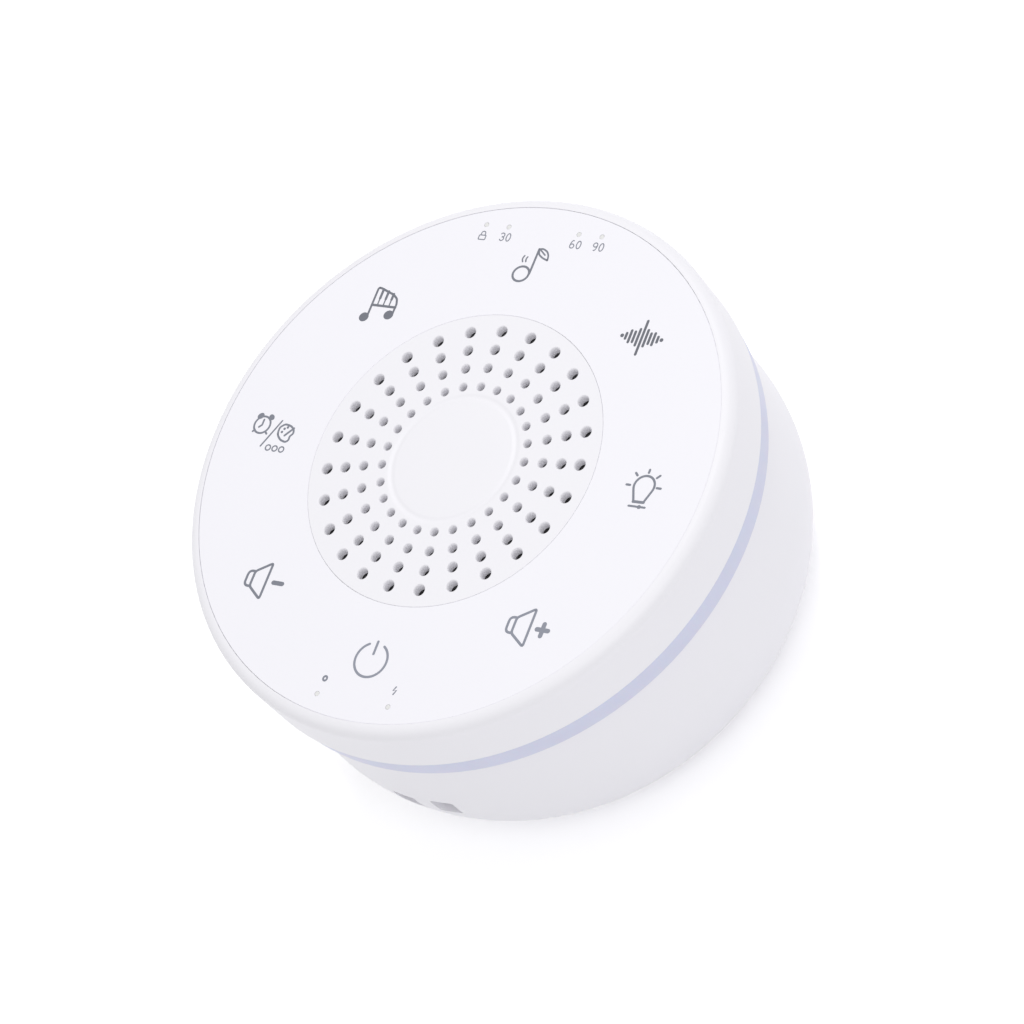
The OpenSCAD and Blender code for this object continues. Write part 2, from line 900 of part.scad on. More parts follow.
module lamp_board() {
    color(board_green)
        difference() {
            ring(lamp_board_in_r, lamp_board_r, z_lamp_board, ring_board_t);
            around(lamp_angles, lamp_mid_r)
                translate([0, 0, z_lamp_board - past])
                    cylinder(r = small_screw_r + pass_gap, h = ring_board_t + 2 * past);
        }
}

module ring_lamps() {
    angles = [for (i = [0 : lamp_count - 1]) 360 * (i + 0.5) / lamp_count];
    color(cream)
        around(angles, lamp_board_r - 0.4)
            translate([0, 0, z_lamp_board + ring_board_t])
                difference() {
                    block([lamp[1], lamp[0], lamp[2]], 0, 0, 0);
                    block([0.6, lamp[0] - 1, lamp[2] - 0.6], lamp[1] / 2, 0, 0.3);
                }
}

module lamp_board_screws() {
    color(steel)
        around(lamp_angles, lamp_mid_r)
            translate([0, 0, z_lamp_board + ring_board_t])
                screw(small_head_r, small_head_h, small_screw_r, lamp_screw_l);
}

// ---------- main board ----------

module main_board() {
    color(board_green)
        difference() {
            union() {
                translate([0, 0, z_board])
                    cylinder(r = board_r, h = board_t);
                block([tab_w, tab_y, board_t], 0, tab_y / 2, z_board);
            }
            around(post_angles, post_ring_r)
                translate([0, 0, z_board - past])
                    cylinder(r = post_r + post_gap, h = board_t + 2 * past);
            around(ear_angles, standoff_ring_r)
                translate([0, 0, z_board - past])
                    cylinder(r = small_screw_r + pass_gap, h = board_t + 2 * past);
            block([slot[0], slot[1], board_t + 2 * past], slot_x, 0, z_board - past);
        }
}

module main_board_screws() {
    color(steel)
        around(ear_angles, standoff_ring_r)
            translate([0, 0, z_board_top])
                screw(small_head_r, small_head_h, small_screw_r, board_t + board_screw_l - tip_gap);
}

module board_chips() {
    color(black)
        translate([0, 0, z_board_top]) {
            leg_chip(10, 7.5, 1.6, 8);
            translate([-10, 20.5, 0])
                leg_chip(5, 4, 1.5, 4);
            translate([14, 23, 0])
                leg_chip(5, 4, 1.5, 4);
            translate([0, -24, 0])
                leg_chip(10, 4, 1.5, 8);
        }
}

module board_capacitors() {
    color([0.25, 0.27, 0.36])
        for (place = [[-22, 22], [22.5, 21], [-3.5, -33], [5, -33.5]])
            translate([place[0], place[1], z_board_top]) {
                cylinder(r = 3.3, h = 0.8);
                cylinder(r = 3, h = 7);
            }
}

module board_coils() {
    color(foam_grey)
        for (place = [[5, 27], [-12, -22]])
            translate([0, 0, z_board_top])
                difference() {
                    block([6, 6, 2.6], place[0], place[1], 0);
                    translate([place[0], place[1], 2.3])
                        cylinder(r = 2.2, h = 1);
                }
}

module usb_socket() {
    back_y = usb_mouth_y - usb_l;
    corner = usb_h / 2 - 0.01;
    color(steel)
        translate([0, 0, usb_z])
            difference() {
                slot_y(usb_w, usb_h, corner, back_y, usb_mouth_y);
                slot_y(usb_w - 2 * usb_sheet_t, usb_h - 2 * usb_sheet_t,
                       corner - usb_sheet_t, back_y + usb_back_t, usb_mouth_y + past);
            }
}

module usb_tongue() {
    color(black)
        block(usb_tongue_size, 0,
              usb_mouth_y - usb_l + usb_back_t + usb_tongue_size[1] / 2,
              usb_z - usb_tongue_size[2] / 2);
}

// Header with its open top at +Z; ways run along Y
module header(ways) {
    l = ways * pitch + 3;
    difference() {
        block([header_d, l, header_h], 0, 0, 0);
        block([header_d - 2 * header_wall, l - 2 * header_wall, header_h],
              0, 0, header_wall);
    }
}

// Plug that stands in a header
module plug(ways) {
    l = ways * pitch + 3;
    grip = header_d - 2 * header_wall - 2 * plug_gap;
    block([grip, l - 2 * header_wall - 2 * plug_gap, header_h + plug_over - header_wall],
          0, 0, header_wall);
}

// Places a header or plug: on the main board, or hung under a ring board
module port(place, z, hung) {
    rotate([0, 0, place[0]])
        translate([place[1], 0, z])
            rotate([hung ? 180 : 0, 0, 0])
                children();
}

module board_headers() {
    color(cream) {
        for (place = [speaker_port, battery_port, touch_port, lamp_port])
            port(place, z_board_top, false)
                header(place[2]);
        port([touch_port[0], touch_head_r], z_touch, true)
            header(touch_port[2]);
        port([lamp_port[0], lamp_head_r], z_lamp_board, true)
            header(lamp_port[2]);
    }
}

module lead_plugs() {
    color(white) {
        for (place = [speaker_port, battery_port, touch_port, lamp_port])
            port(place, z_board_top, false)
                plug(place[2]);
        port([touch_port[0], touch_head_r], z_touch, true)
            plug(touch_port[2]);
        port([lamp_port[0], lamp_head_r], z_lamp_board, true)
            plug(lamp_port[2]);
    }
}

// ---------- battery ----------

module battery_cell() {
    round_r = cell[2] / 2 - 0.2;
    color(tin)
        translate([cell_x - cell[0] / 2, 0, z_cell])
            rotate([90, 0, 90])
                linear_extrude(cell[0])
                    union() {
                        translate([-cell[1] / 2 + round_r, 0])
                            square([cell[1] - 2 * round_r, cell[2]]);
                        for (side = [-1, 1])
                            translate([side * (cell[1] / 2 - round_r), cell[2] / 2])
                                intersection() {
                                    circle(r = cell[2] / 2);
                                    square([2 * round_r, cell[2]], center = true);
                                }
                    }
}

module battery_guard_board() {
    color([0.85, 0.6, 0.15])
        block(guard, guard_x + guard[0] / 2, 0, z_guard);
}

module battery_pad() {
    color(foam_grey)
        block([cell[0] - 4, cell[1] - 10, pad_t], cell_x, 0, z_floor);
}

// ---------- leads ----------

// Places of a plug's wires across its width
function way_offsets(ways) = [for (i = [0 : ways - 1]) (i - (ways - 1) / 2) * pitch];

module battery_leads() {
    top = z_lead_foot;
    side = battery_port[1];
    color("firebrick")
        for (y = way_offsets(2))
            tube(
                smooth([
                    [side, y, top],
                    [side, y, top + 3],
                    [side + 1.5, y, top + 6],
                    [slot_x - 1, y, top + 6],
                    [slot_x, y, top + 2],
                    [slot_x, y, z_board],
                    [slot_x, y, z_guard + guard[2] / 2 + 1.6],
                    [slot_x - 1.6, y, z_guard + guard[2] / 2],
                    [guard_end_x, y, z_guard + guard[2] / 2]
                ], 4),
                lead_r, lead_sides, [0, 1, 0]);
}

module speaker_leads() {
    foot = z_lead_foot;
    head = z_terminal - tab_drop;
    color("dimgray")
        for (y = way_offsets(2))
            tube(
                smooth([
                    [-speaker_port[1], y, foot],
                    [-speaker_port[1], y, foot + 3],
                    [-speaker_port[1] - 2, y, (foot + head) / 2],
                    [-terminal_r - 1, y, head - 3],
                    [-terminal_r - 1, y, head]
                ], 5),
                lead_r, lead_sides, [0, 1, 0]);
}

module touch_harness() {
    foot = z_lead_foot;
    head = z_touch - header_h - plug_over;
    color("lightgray")
        rotate([0, 0, touch_port[0]])
            for (y = way_offsets(touch_port[2]))
                tube(
                    smooth([
                        [touch_port[1], y, foot],
                        [touch_port[1], y, foot + 4],
                        [touch_head_r + 1.6, y, (foot + head) / 2],
                        [touch_head_r, y, head - 4],
                        [touch_head_r, y, head]
                    ], 5),
                    lead_r, lead_sides, [0, 1, 0]);
}

module lamp_harness() {
    foot = z_lead_foot;
    head = z_lamp_board - header_h - plug_over;
    color("lightgray")
        rotate([0, 0, lamp_port[0]])
            for (y = way_offsets(lamp_port[2]))
                tube(
                    smooth([
                        [lamp_port[1], y, foot],
                        [lamp_port[1], y, foot + 4],
                        [lamp_head_r, y, head - 4],
                        [lamp_head_r, y, head]
                    ], 6),
                    lead_r, lead_sides, [0, 1, 0]);
}

// ---------- speaker ----------

module speaker_gasket() {
    color(foam_grey)
        ring(speaker_r - 2.3, speaker_r - 0.1, z_flange_top, gasket_t);
}

module speaker_frame() {
    lip_r = cone_top_r + 2.8;
    foot_in_r = gap_r + 1.8;
    seat_out_r = speaker_r - 2.6;
    color(ferrite)
        difference() {
            union() {
                ring(lip_r, speaker_r, z_flange, frame_t);
                around(ear_angles, ear_place_r)
                    translate([0, 0, z_flange])
                        cylinder(r = ear_r, h = frame_t);
                around(ear_angles, ear_place_r - ear_r - 1)
                    block([ear_r + 2, 2 * ear_r, frame_t], ear_r / 2, 0, z_flange);
                rotate_extrude()
                    polygon([
                        [foot_in_r, z_basket_foot],
                        [basket_foot_r, z_basket_foot],
                        [basket_foot_r, z_basket_foot + frame_t],
                        [seat_out_r, z_flange],
                        [seat_out_r, z_flange_top],
                        [lip_r, z_flange_top],
                        [lip_r, z_flange - 0.6],
                        [basket_in_r, z_ledge],
                        [ledge_in_r, z_ledge],
                        [ledge_in_r, z_ledge - frame_t],
                        [basket_in_r - 0.6, z_ledge - frame_t],
                        [basket_in_r - 0.6, z_basket_foot + frame_t],
                        [foot_in_r, z_basket_foot + frame_t]
                    ]);
            }
            around(ear_angles, ear_place_r)
                translate([0, 0, z_flange - past])
                    cylinder(r = small_screw_r + pass_gap, h = frame_t + 2 * past);
            around(window_angles, basket_in_r)
                block([2 * speaker_r, 13, z_flange - z_ledge - 3.4], speaker_r, 0, z_ledge + 1.4);
        }
}

module speaker_top_plate() {
    color(steel)
        ring(gap_r, yoke_r, z_top_plate, top_plate_t);
}

module speaker_magnet() {
    color(ferrite)
        ring(gap_r + 2.4, magnet_r, z_magnet, magnet_h);
}

module speaker_yoke() {
    color(steel) {
        translate([0, 0, z_yoke])
            cylinder(r = yoke_r, h = yoke_t);
        translate([0, 0, z_yoke + 1])
            cylinder(r = pole_r, h = z_basket_foot - z_yoke - 1);
    }
}

module speaker_terminals() {
    color(cream)
        translate([-terminal_r, 0, z_terminal]) {
            block(terminal_plate, 0, 0, 0);
            for (y = way_offsets(2))
                block([0.8, 1.1, 4], -1, y, -tab_drop);
        }
}

module speaker_screws() {
    color(steel)
        around(ear_angles, ear_place_r)
            translate([0, 0, z_flange])
                rotate([180, 0, 0])
                    screw(ear_head_r, ear_head_h, small_screw_r, ear_screw_l);
}

// Rubber half roll between the cone's lip and the frame's lip
module speaker_surround() {
    skin = 0.4;
    roll_in = cone_top_r + 0.2;
    roll_out = cone_top_r + 3.6;
    mid = (roll_in + roll_out) / 2;
    roll_r = (roll_out - roll_in) / 2;
    color(black)
        rotate_extrude() {
            translate([roll_in - 1, z_flange_top])
                square([1 + 0.3, skin]);
            intersection() {
                translate([mid, z_flange_top])
                    difference() {
                        circle(r = roll_r + skin / 2);
                        circle(r = roll_r - skin / 2);
                    }
                translate([0, z_flange_top])
                    square([case_r, roll_r + 1]);
            }
            translate([roll_out - 0.3, z_flange_top])
                square([0.9 + 0.3, skin]);
        }
}

// Corrugated cloth disc that centres the coil on the frame's ledge
module speaker_spider() {
    waves = 4;
    sheet = 0.25;
    height = 0.5;
    inner = former_r + loose;
    flat = ledge_in_r + 0.1;
    outer = basket_in_r - 0.1;
    steps = 8 * waves;
    function wave_r(i) = inner + (flat - inner) * i / steps;
    function wave_z(i) = z_ledge + height * (1 - cos(360 * waves * i / steps)) / 2;
    color([0.8, 0.65, 0.4])
        rotate_extrude()
            polygon(concat(
                [for (i = [0 : steps]) [wave_r(i), wave_z(i)]],
                [[outer, z_ledge], [outer, z_ledge + sheet]],
                [for (i = [steps : -1 : 0]) [wave_r(i), wave_z(i) + sheet]]
            ));
}

module speaker_cone() {
    z_lip = z_flange_top - cone_skin;
    color([0.25, 0.25, 0.26])
        rotate_extrude()
            polygon([
                [former_r, z_cone_foot],
                [former_r + 0.8, z_cone_foot],
                [cone_top_r - 1, z_lip],
                [cone_top_r, z_lip],
                [cone_top_r, z_flange_top],
                [cone_top_r - 1.3, z_flange_top],
                [former_r, z_cone_foot + 1]
            ]);
}

module dust_cap() {
    cap_r = 8.4;
    share = (cap_r - former_r) / (cone_top_r - 1.3 - former_r);
    z_cap = z_cone_foot + 1 + share * (z_flange_top - z_cone_foot - 1);
    dome_r = 12;
    drop = sqrt(dome_r * dome_r - cap_r * cap_r);
    color(black)
        translate([0, 0, z_cap - drop])
            difference() {
                intersection() {
                    sphere(r = dome_r);
                    translate([0, 0, drop])
                        cylinder(r = cap_r, h = dome_r);
                }
                sphere(r = dome_r - 0.4);
            }
}

module voice_coil() {
    winding_h = 4;
    winding_z = z_top_plate + top_plate_t / 2 - winding_h / 2;
    color(copper) {
        ring(coil_in_r, former_r, winding_z - 1, z_cone_foot + 0.8 - winding_z + 1);
        ring(coil_in_r, winding_r, winding_z, winding_h);
    }
}

// ---------- assembly ----------

touch_panel();
panel_adhesive();
speaker_grille();
grille_cloth();
upper_shell();
light_ring();
lower_shell();
foot_ring();
shell_screws();
touch_board();
touch_springs();
touch_chip();
touch_board_screws();
indicator_lamps();
timer_light_guide();
status_light_guide();
lamp_board();
ring_lamps();
lamp_board_screws();
main_board();
main_board_screws();
board_chips();
board_capacitors();
board_coils();
usb_socket();
usb_tongue();
board_headers();
lead_plugs();
battery_cell();
battery_guard_board();
battery_pad();
battery_leads();
speaker_leads();
touch_harness();
lamp_harness();
speaker_gasket();
speaker_frame();
speaker_top_plate();
speaker_magnet();
speaker_yoke();
speaker_terminals();
speaker_screws();
speaker_surround();
speaker_spider();
speaker_cone();
dust_cap();
voice_coil();
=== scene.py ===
"""Finish, print, speaker, boards, leads and stage of a round table-top sound machine."""

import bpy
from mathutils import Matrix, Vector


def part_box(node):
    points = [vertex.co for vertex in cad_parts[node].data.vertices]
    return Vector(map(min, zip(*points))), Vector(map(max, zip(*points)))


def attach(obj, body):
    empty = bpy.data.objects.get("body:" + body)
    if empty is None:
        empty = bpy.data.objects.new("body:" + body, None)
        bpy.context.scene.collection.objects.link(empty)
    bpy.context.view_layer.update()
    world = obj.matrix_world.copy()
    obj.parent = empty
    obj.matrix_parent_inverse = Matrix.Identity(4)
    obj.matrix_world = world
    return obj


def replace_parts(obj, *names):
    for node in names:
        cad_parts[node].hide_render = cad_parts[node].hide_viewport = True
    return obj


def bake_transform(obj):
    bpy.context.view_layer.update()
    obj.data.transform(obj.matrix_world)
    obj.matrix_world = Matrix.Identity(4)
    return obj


bl_info = {
    "name": "Sound Machine Finish",
    "version": (1, 0, 0),
    "blender": (4, 5, 0),
    "location": "3D View > Sidebar > Sound Machine",
    "description": "Dresses a round sound machine: satin shells, printed keys, speaker, boards and stage",
    "category": "Object",
}

import math

import bmesh
import bpy
import numpy as np
from bpy.props import FloatProperty, FloatVectorProperty, IntProperty, PointerProperty
from bpy.types import Operator, Panel, PropertyGroup

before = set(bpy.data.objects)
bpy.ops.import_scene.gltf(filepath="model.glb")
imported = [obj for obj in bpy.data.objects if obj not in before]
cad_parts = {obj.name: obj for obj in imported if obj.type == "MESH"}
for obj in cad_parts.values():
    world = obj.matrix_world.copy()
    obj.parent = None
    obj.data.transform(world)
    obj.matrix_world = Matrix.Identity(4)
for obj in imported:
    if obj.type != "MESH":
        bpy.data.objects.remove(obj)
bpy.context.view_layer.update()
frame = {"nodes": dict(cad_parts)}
NODES = frame["nodes"]
MM = 0.001
HOUSING = "housing"


def span(node):
    """Lowest and highest corner of a CAD node, in millimetres."""
    low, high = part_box(node)
    return np.array(low) / MM, np.array(high) / MM


def screen(red, green, blue):
    """A colour as a screen shows it, 0 to 255, as the linear colour that shaders take."""
    share = np.array([red, green, blue]) / 255
    linear = np.where(share <= 0.04045, share / 12.92, ((share + 0.055) / 1.055) ** 2.4)
    return tuple(float(value) for value in linear)


# ---------- settings ----------


def colour(name, words, red, green, blue):
    """A colour setting whose default is given as a screen shows it."""
    return FloatVectorProperty(
        name=name, description=words, subtype="COLOR", size=3, min=0, max=1,
        default=screen(red, green, blue),
    )


def length(name, words, millimetres):
    """A length setting whose default is given in millimetres."""
    return FloatProperty(
        name=name, description=words, subtype="DISTANCE", unit="LENGTH", precision=5,
        default=millimetres * MM,
    )


def metres(name, words, value):
    """A length setting of the stage, given in metres."""
    return FloatProperty(
        name=name, description=words, subtype="DISTANCE", unit="LENGTH", default=value
    )


def power(name, words, watts):
    """A lamp's power setting."""
    return FloatProperty(
        name=name, description=words, subtype="POWER", unit="POWER", default=watts
    )


def whole(name, words, count, least, most):
    """A setting that counts something."""
    return IntProperty(name=name, description=words, default=count, min=least, max=most)


def angle(name, words, degrees):
    """An angle setting whose default is given in degrees."""
    return FloatProperty(
        name=name, description=words, subtype="ANGLE", unit="ROTATION",
        default=math.radians(degrees),
    )


class CaseSettings(PropertyGroup):
    """Colours and grain of the outside."""

    panel: colour("Panel", "Satin ring with the touch keys", 247, 246, 252)
    shell: colour("Shells", "Both shells and the grille", 244, 243, 248)
    band: colour("Light band", "Frosted band between the shells", 212, 215, 236)
    cloth: colour("Cloth", "Woven cloth behind the grille", 26, 26, 28)
    foot: colour("Foot", "Rubber ring under the case", 196, 198, 203)
    tape: colour("Tape", "Adhesive film under the panel", 236, 231, 214)
    lamp: colour("Lamps", "Moulded body of a lamp", 244, 240, 222)
    guide: colour("Light guides", "Milky bars that light the pin holes", 245, 245, 244)
    grain_size: length("Grain size", "Width of a grain of the moulded finish", 0.22)
    grain_depth: length("Grain depth", "Depth of the moulded finish", 0.004)


class PrintSettings(PropertyGroup):
    """Sizes of the symbols printed on the panel."""

    ink: colour("Ink", "Grey of the printed symbols", 118, 121, 132)
    key_ring: length("Key circle", "Radius of the circle the symbols stand on", 37.0)
    stroke: length("Stroke", "Width of a symbol's lines", 0.4)
    film: length("Film", "Thickness of the ink", 0.02)
    digit_height: length("Digit height", "Height of the printed numbers", 1.45)
    digit_stroke: length("Digit stroke", "Width of the numbers' lines", 0.19)


class GrilleSettings(PropertyGroup):
    """Drilling of the grille."""

    per_ring: whole("Holes per ring", "Holes in each of the four rings", 25, 12, 30)
    outer_ring: length("Outer ring", "Radius of the outer ring of holes", 24.0)
    ring_step: length("Ring step", "Distance between the rings of holes", 3.5)
    inner_hole: length("Inner hole", "Radius of a hole in the inner ring", 0.75)
    outer_hole: length("Outer hole", "Radius of a hole in the outer ring", 1.0)
    first_column: angle("First column", "Direction of the first column of holes", -81.3)
    lip: length("Lip", "How far the rounded edge of a hole reaches past it", 0.2)
    lip_depth: length("Lip depth", "Depth of the rounded edge of a hole", 0.65)
    throat: length("Throat", "How much narrower a hole is below its rounded edge", 0.08)
    edge: length("Edge", "Radius of the rounded edge along the seam", 0.06)
    dip_ring: length("Dip ring", "Radius of the shallow ring round the plain middle", 11.45)
    dip_width: length("Dip width", "Half width of the shallow ring", 0.8)
    dip_depth: length("Dip depth", "Depth of the shallow ring", 0.16)


class InsideSettings(PropertyGroup):
    """Colours and sizes of what the case holds."""

    board: colour("Boards", "Solder mask", 24, 104, 62)
    track: colour("Tracks", "Copper tracks under the solder mask", 58, 142, 86)
    gold: colour("Pads", "Bare pads", 214, 178, 96)
    chip: colour("Chips", "Moulded chip bodies", 40, 40, 43)
    steel: colour("Steel", "Screws, springs and the socket", 196, 198, 202)
    plate: colour("Plated steel", "Speaker yoke and top plate", 186, 184, 172)
    magnet: colour("Magnet", "Sintered ferrite", 66, 66, 70)
    frame: colour("Speaker frame", "Powder coat of the basket", 52, 52, 55)
    rubber: colour("Surround", "Rubber roll round the cone", 40, 40, 42)
    pulp: colour("Cone", "Pressed pulp", 62, 62, 64)
    cloth: colour("Spider", "Impregnated cloth", 206, 170, 106)
    copper: colour("Copper", "Enamelled winding wire", 200, 120, 70)
    foam: colour("Foam", "Gasket and battery pad", 78, 78, 82)
    can: colour("Capacitors", "Sleeve of a capacitor", 74, 80, 112)
    nylon: colour("Headers", "Moulded nylon", 238, 232, 214)
    plug: colour("Plugs", "Moulded plugs", 240, 240, 236)
    foil: colour("Cell", "Laminated foil", 206, 208, 212)
    film: colour("Guard board", "Amber film over the guard board", 206, 152, 46)
    red: colour("Red leads", "Battery leads", 178, 38, 34)
    grey: colour("Grey leads", "Speaker, touch and lamp leads", 146, 148, 152)
    lead: length("Lead", "Radius of a lead's insulation", 0.6)
    lead_pitch: length("Lead pitch", "Distance between neighbouring leads", 1.5)
    spring_wire: length("Spring wire", "Radius of a key spring's wire", 0.25)
    spring_turns: whole("Spring turns", "Turns of a key spring", 4, 2, 8)


class StageSettings(PropertyGroup):
    """Floor, lamps and camera."""

    floor: colour("Floor", "Pale floor", 246, 246, 248)
    key_power: power("Key lamp", "Power of the large key lamp", 4.35)
    key_azimuth: angle("Key azimuth", "Direction of the key lamp round the object", 100)
    key_height: angle("Key height", "Height of the key lamp over the horizon", 62)
    fill_power: power("Fill lamp", "Power of the lamp on the camera's side", 2.6)
    fill_azimuth: angle("Fill azimuth", "Direction of the fill lamp round the object", -30)
    fill_height: angle("Fill height", "Height of the fill lamp over the horizon", 50)
    lamp_size: metres("Lamp size", "Width of a lamp", 0.7)
    lamp_distance: metres("Lamp distance", "Distance of a lamp from the origin", 1.3)
    sky: FloatProperty(
        name="Sky", description="Strength of the even light all round", default=0.645
    )
    white: FloatProperty(
        name="Shown floor", description="Lightness of the floor where it is seen directly", default=1.35
    )
    camera: FloatVectorProperty(
        name="Camera", description="Place of the camera", subtype="TRANSLATION",
        unit="LENGTH", size=3, default=(0.3681, -0.2160, 0.5468),
    )
    camera_turn: FloatVectorProperty(
        name="Camera turn", description="Turn of the camera about X, Y and Z",
        subtype="EULER", size=3, default=tuple(math.radians(a) for a in (30.981, 26.262, 23.085)),
    )
    lens: FloatProperty(
        name="Lens", description="Focal length on a 36 mm sensor, in millimetres", default=140.2
    )


# ---------- shader helpers ----------


class Wire:
    """A shader socket in a sum: each operator adds the Math node that it stands for."""

    def __init__(self, graph, socket):
        self.graph = graph
        self.socket = socket

    def math(self, operation, *others):
        """The Math node for an operation on this value and the others."""
        return self.graph.math(operation, self, *others)

    def __add__(self, other):
        return self.math("ADD", other)

    def __sub__(self, other):
        return self.math("SUBTRACT", other)

    def __rsub__(self, other):
        return self.graph.math("SUBTRACT", other, self)

    def __mul__(self, other):
        return self.math("MULTIPLY", other)

    def __truediv__(self, other):
        return self.math("DIVIDE", other)

    def __gt__(self, other):
        return self.math("GREATER_THAN", other)

    def __lt__(self, other):
        return self.math("LESS_THAN", other)

    __radd__ = __add__
    __rmul__ = __mul__


class Graph:
    """A node tree that is filled node by node."""

    def __init__(self, owner):
        owner.use_nodes = True
        self.tree = owner.node_tree
        self.tree.nodes.clear()

    def node(self, kind, settings, values):
        """A node: its settings first, then a value or a link for each socket named."""
        made = self.tree.nodes.new(kind)
        for key, value in settings.items():
            setattr(made, key, value)
        for key, value in values.items():
            if isinstance(value, Wire):
                self.tree.links.new(value.socket, made.inputs[key])
            else:
                made.inputs[key].default_value = value
        return made

    def math(self, operation, *values):
        """A Math node."""
        made = self.node("ShaderNodeMath", {"operation": operation}, dict(enumerate(values)))
        return Wire(self, made.outputs[0])

    def direct(self):
        """1 where the camera sees a surface itself, through glass or mirrored, and 0 where it only
        lights others."""
        path = self.node("ShaderNodeLightPath", {}, {})
        names = ("Is Camera Ray", "Is Glossy Ray", "Is Transmission Ray")
        camera, glossy, through = (Wire(self, path.outputs[name]) for name in names)
        return camera.math("MAXIMUM", glossy).math("MAXIMUM", through)


class Finish(Graph):
    """The node tree of one material: a Principled shader and what varies over the surface."""

    def __init__(self, name, base, roughness, **constants):
        self.material = bpy.data.materials.new(name)
        super().__init__(self.material)
        self.base = (*base, 1.0)
        values = {"Base Color": self.base, "Roughness": roughness, **constants}
        self.shader = self.node("ShaderNodeBsdfPrincipled", {}, values)
        surface = {"Surface": Wire(self, self.shader.outputs["BSDF"])}
        self.node("ShaderNodeOutputMaterial", {}, surface)
        self.place = Wire(self, self.node("ShaderNodeTexCoord", {}, {}).outputs["Object"])

    def noise(self, size, detail=2.0, roughness=0.5, place=None):
        """Soft noise from 0 to 1 whose patches are about size metres wide."""
        values = {
            "Vector": place or self.place,
            "Scale": 1 / size,
            "Detail": detail,
            "Roughness": roughness,
        }
        return Wire(self, self.node("ShaderNodeTexNoise", {}, values).outputs[0])

    def cells(self, size, feature="F1", place=None):
        """Distance to the nearest of points scattered about size metres apart."""
        values = {"Vector": place or self.place, "Scale": 1 / size}
        made = self.node("ShaderNodeTexVoronoi", {"feature": feature}, values)
        return Wire(self, made.outputs["Distance"])

    def mapped(self, scale=(1, 1, 1), turn=(0, 0, 0)):
        """Object coordinates, turned and stretched."""
        values = {"Vector": self.place, "Scale": scale, "Rotation": turn}
        return Wire(self, self.node("ShaderNodeMapping", {}, values).outputs[0])

    def axes(self, place=None):
        """The three coordinates of a place, each as a value."""
        made = self.node("ShaderNodeSeparateXYZ", {}, {"Vector": place or self.place})
        return [Wire(self, socket) for socket in made.outputs]

    def ramp(self, value, low, high):
        """0 below low, 1 above high, and smooth between them."""
        settings = {"interpolation_type": "SMOOTHSTEP"}
        made = self.node("ShaderNodeMapRange", settings, {0: value, 1: low, 2: high})
        return Wire(self, made.outputs[0])

    def blend(self, share, first, second):
        """Colour that goes from first to second as share goes from 0 to 1."""
        pair = [value if isinstance(value, Wire) else (*value[:3], 1.0) for value in (first, second)]
        settings = {"data_type": "RGBA"}
        made = self.node("ShaderNodeMix", settings, {"Factor": share, 6: pair[0], 7: pair[1]})
        return Wire(self, made.outputs[2])

    def shade(self, share):
        """The base colour made darker or lighter by a share."""
        return tuple(min(1.0, channel * share) for channel in self.base[:3])

    def tint(self, share, first, second):
        """Base colour that goes from one share of itself to another as share goes from 0 to 1."""
        self.vary(Base_Color=self.blend(share, self.shade(first), self.shade(second)))

    def vary(self, **links):
        """Links values that change over the surface to the shader's sockets."""
        for key, value in links.items():
            self.tree.links.new(value.socket, self.shader.inputs[key.replace("_", " ")])

    def bump(self, height, depth):
        """Bump of a height from 0 to 1 that stands for depth metres."""
        made = self.node("ShaderNodeBump", {}, {"Height": height, "Distance": depth, "Strength": 1.0})
        self.vary(Normal=Wire(self, made.outputs["Normal"]))
        return self.material


# ---------- finishes ----------

# Sizes are in metres: how wide a patch, a grain or a thread is, and how deep a bump.


def moulded(name, base, grain, depth, roughness=0.45):
    """Moulded plastic: fine grain, faint flow marks in its colour and uneven gloss."""
    finish = Finish(name, base, roughness)
    flow = finish.noise(0.03, detail=3)
    fine = finish.noise(grain, detail=2)
    handled = finish.noise(0.012, detail=4, roughness=0.6)
    finish.tint(flow * 0.5 + fine * 0.3, 1.012, 0.985)
    finish.vary(Roughness=roughness - 0.05 + handled * 0.1)
    return finish.bump(fine, depth)


def frosted(name, base):
    """Frosted diffuser: milky, a little uneven, with a soft sheen and some depth of its own."""
    constants = {"Subsurface Weight": 0.15, "Subsurface Scale": 0.002, "IOR": 1.49}
    finish = Finish(name, base, 0.42, **constants)
    mist = finish.noise(0.009, detail=4)
    fine = finish.noise(0.00018, detail=2)
    finish.tint(mist, 1.04, 0.96)
    finish.vary(Roughness=0.36 + mist * 0.12)
    return finish.bump(fine, 0.000003)


def printed(name, base):
    """Screen-printed ink: flat grey with the faint mesh of the screen and dry specks."""
    finish = Finish(name, base, 0.5)
    east, north, _ = finish.axes()
    weave = (east * 16000).math("SINE") * (north * 16000).math("SINE")
    dry = finish.ramp(finish.noise(0.0003, detail=3), 0.62, 0.75)
    finish.vary(
        Base_Color=finish.blend(dry * 0.5, base, finish.shade(1.45)),
        Roughness=0.46 + dry * 0.2,
    )
    return finish.bump(weave * 0.5 + 0.5, 0.000002)


def woven(name, base, thread, depth, twist=0.0):
    """Plain weave: two crossed rows of threads, each over and under the other in turn, with painted shade
    in the hollows between them.
    """
    finish = Finish(name, base, 0.85, **{"Sheen Weight": 0.25})
    east, north, _ = finish.axes(finish.mapped(turn=(0, 0, twist)))
    wave = math.pi / thread
    warp = (east * wave).math("SINE")
    weft = (north * wave).math("SINE")
    over = warp * weft
    hairs = finish.noise(thread * 0.4, detail=3)
    height = over * 0.5 + 0.5
    # Painted shade: the colour darkens where the threads dip under and lightens on the raised crossings;
    # the hairs add uneven tone.
    finish.tint(height * 0.7 + hairs * 0.3, 0.55, 1.5)
    finish.vary(Roughness=0.78 + hairs * 0.15)
    return finish.bump(height + hairs * 0.2, depth)


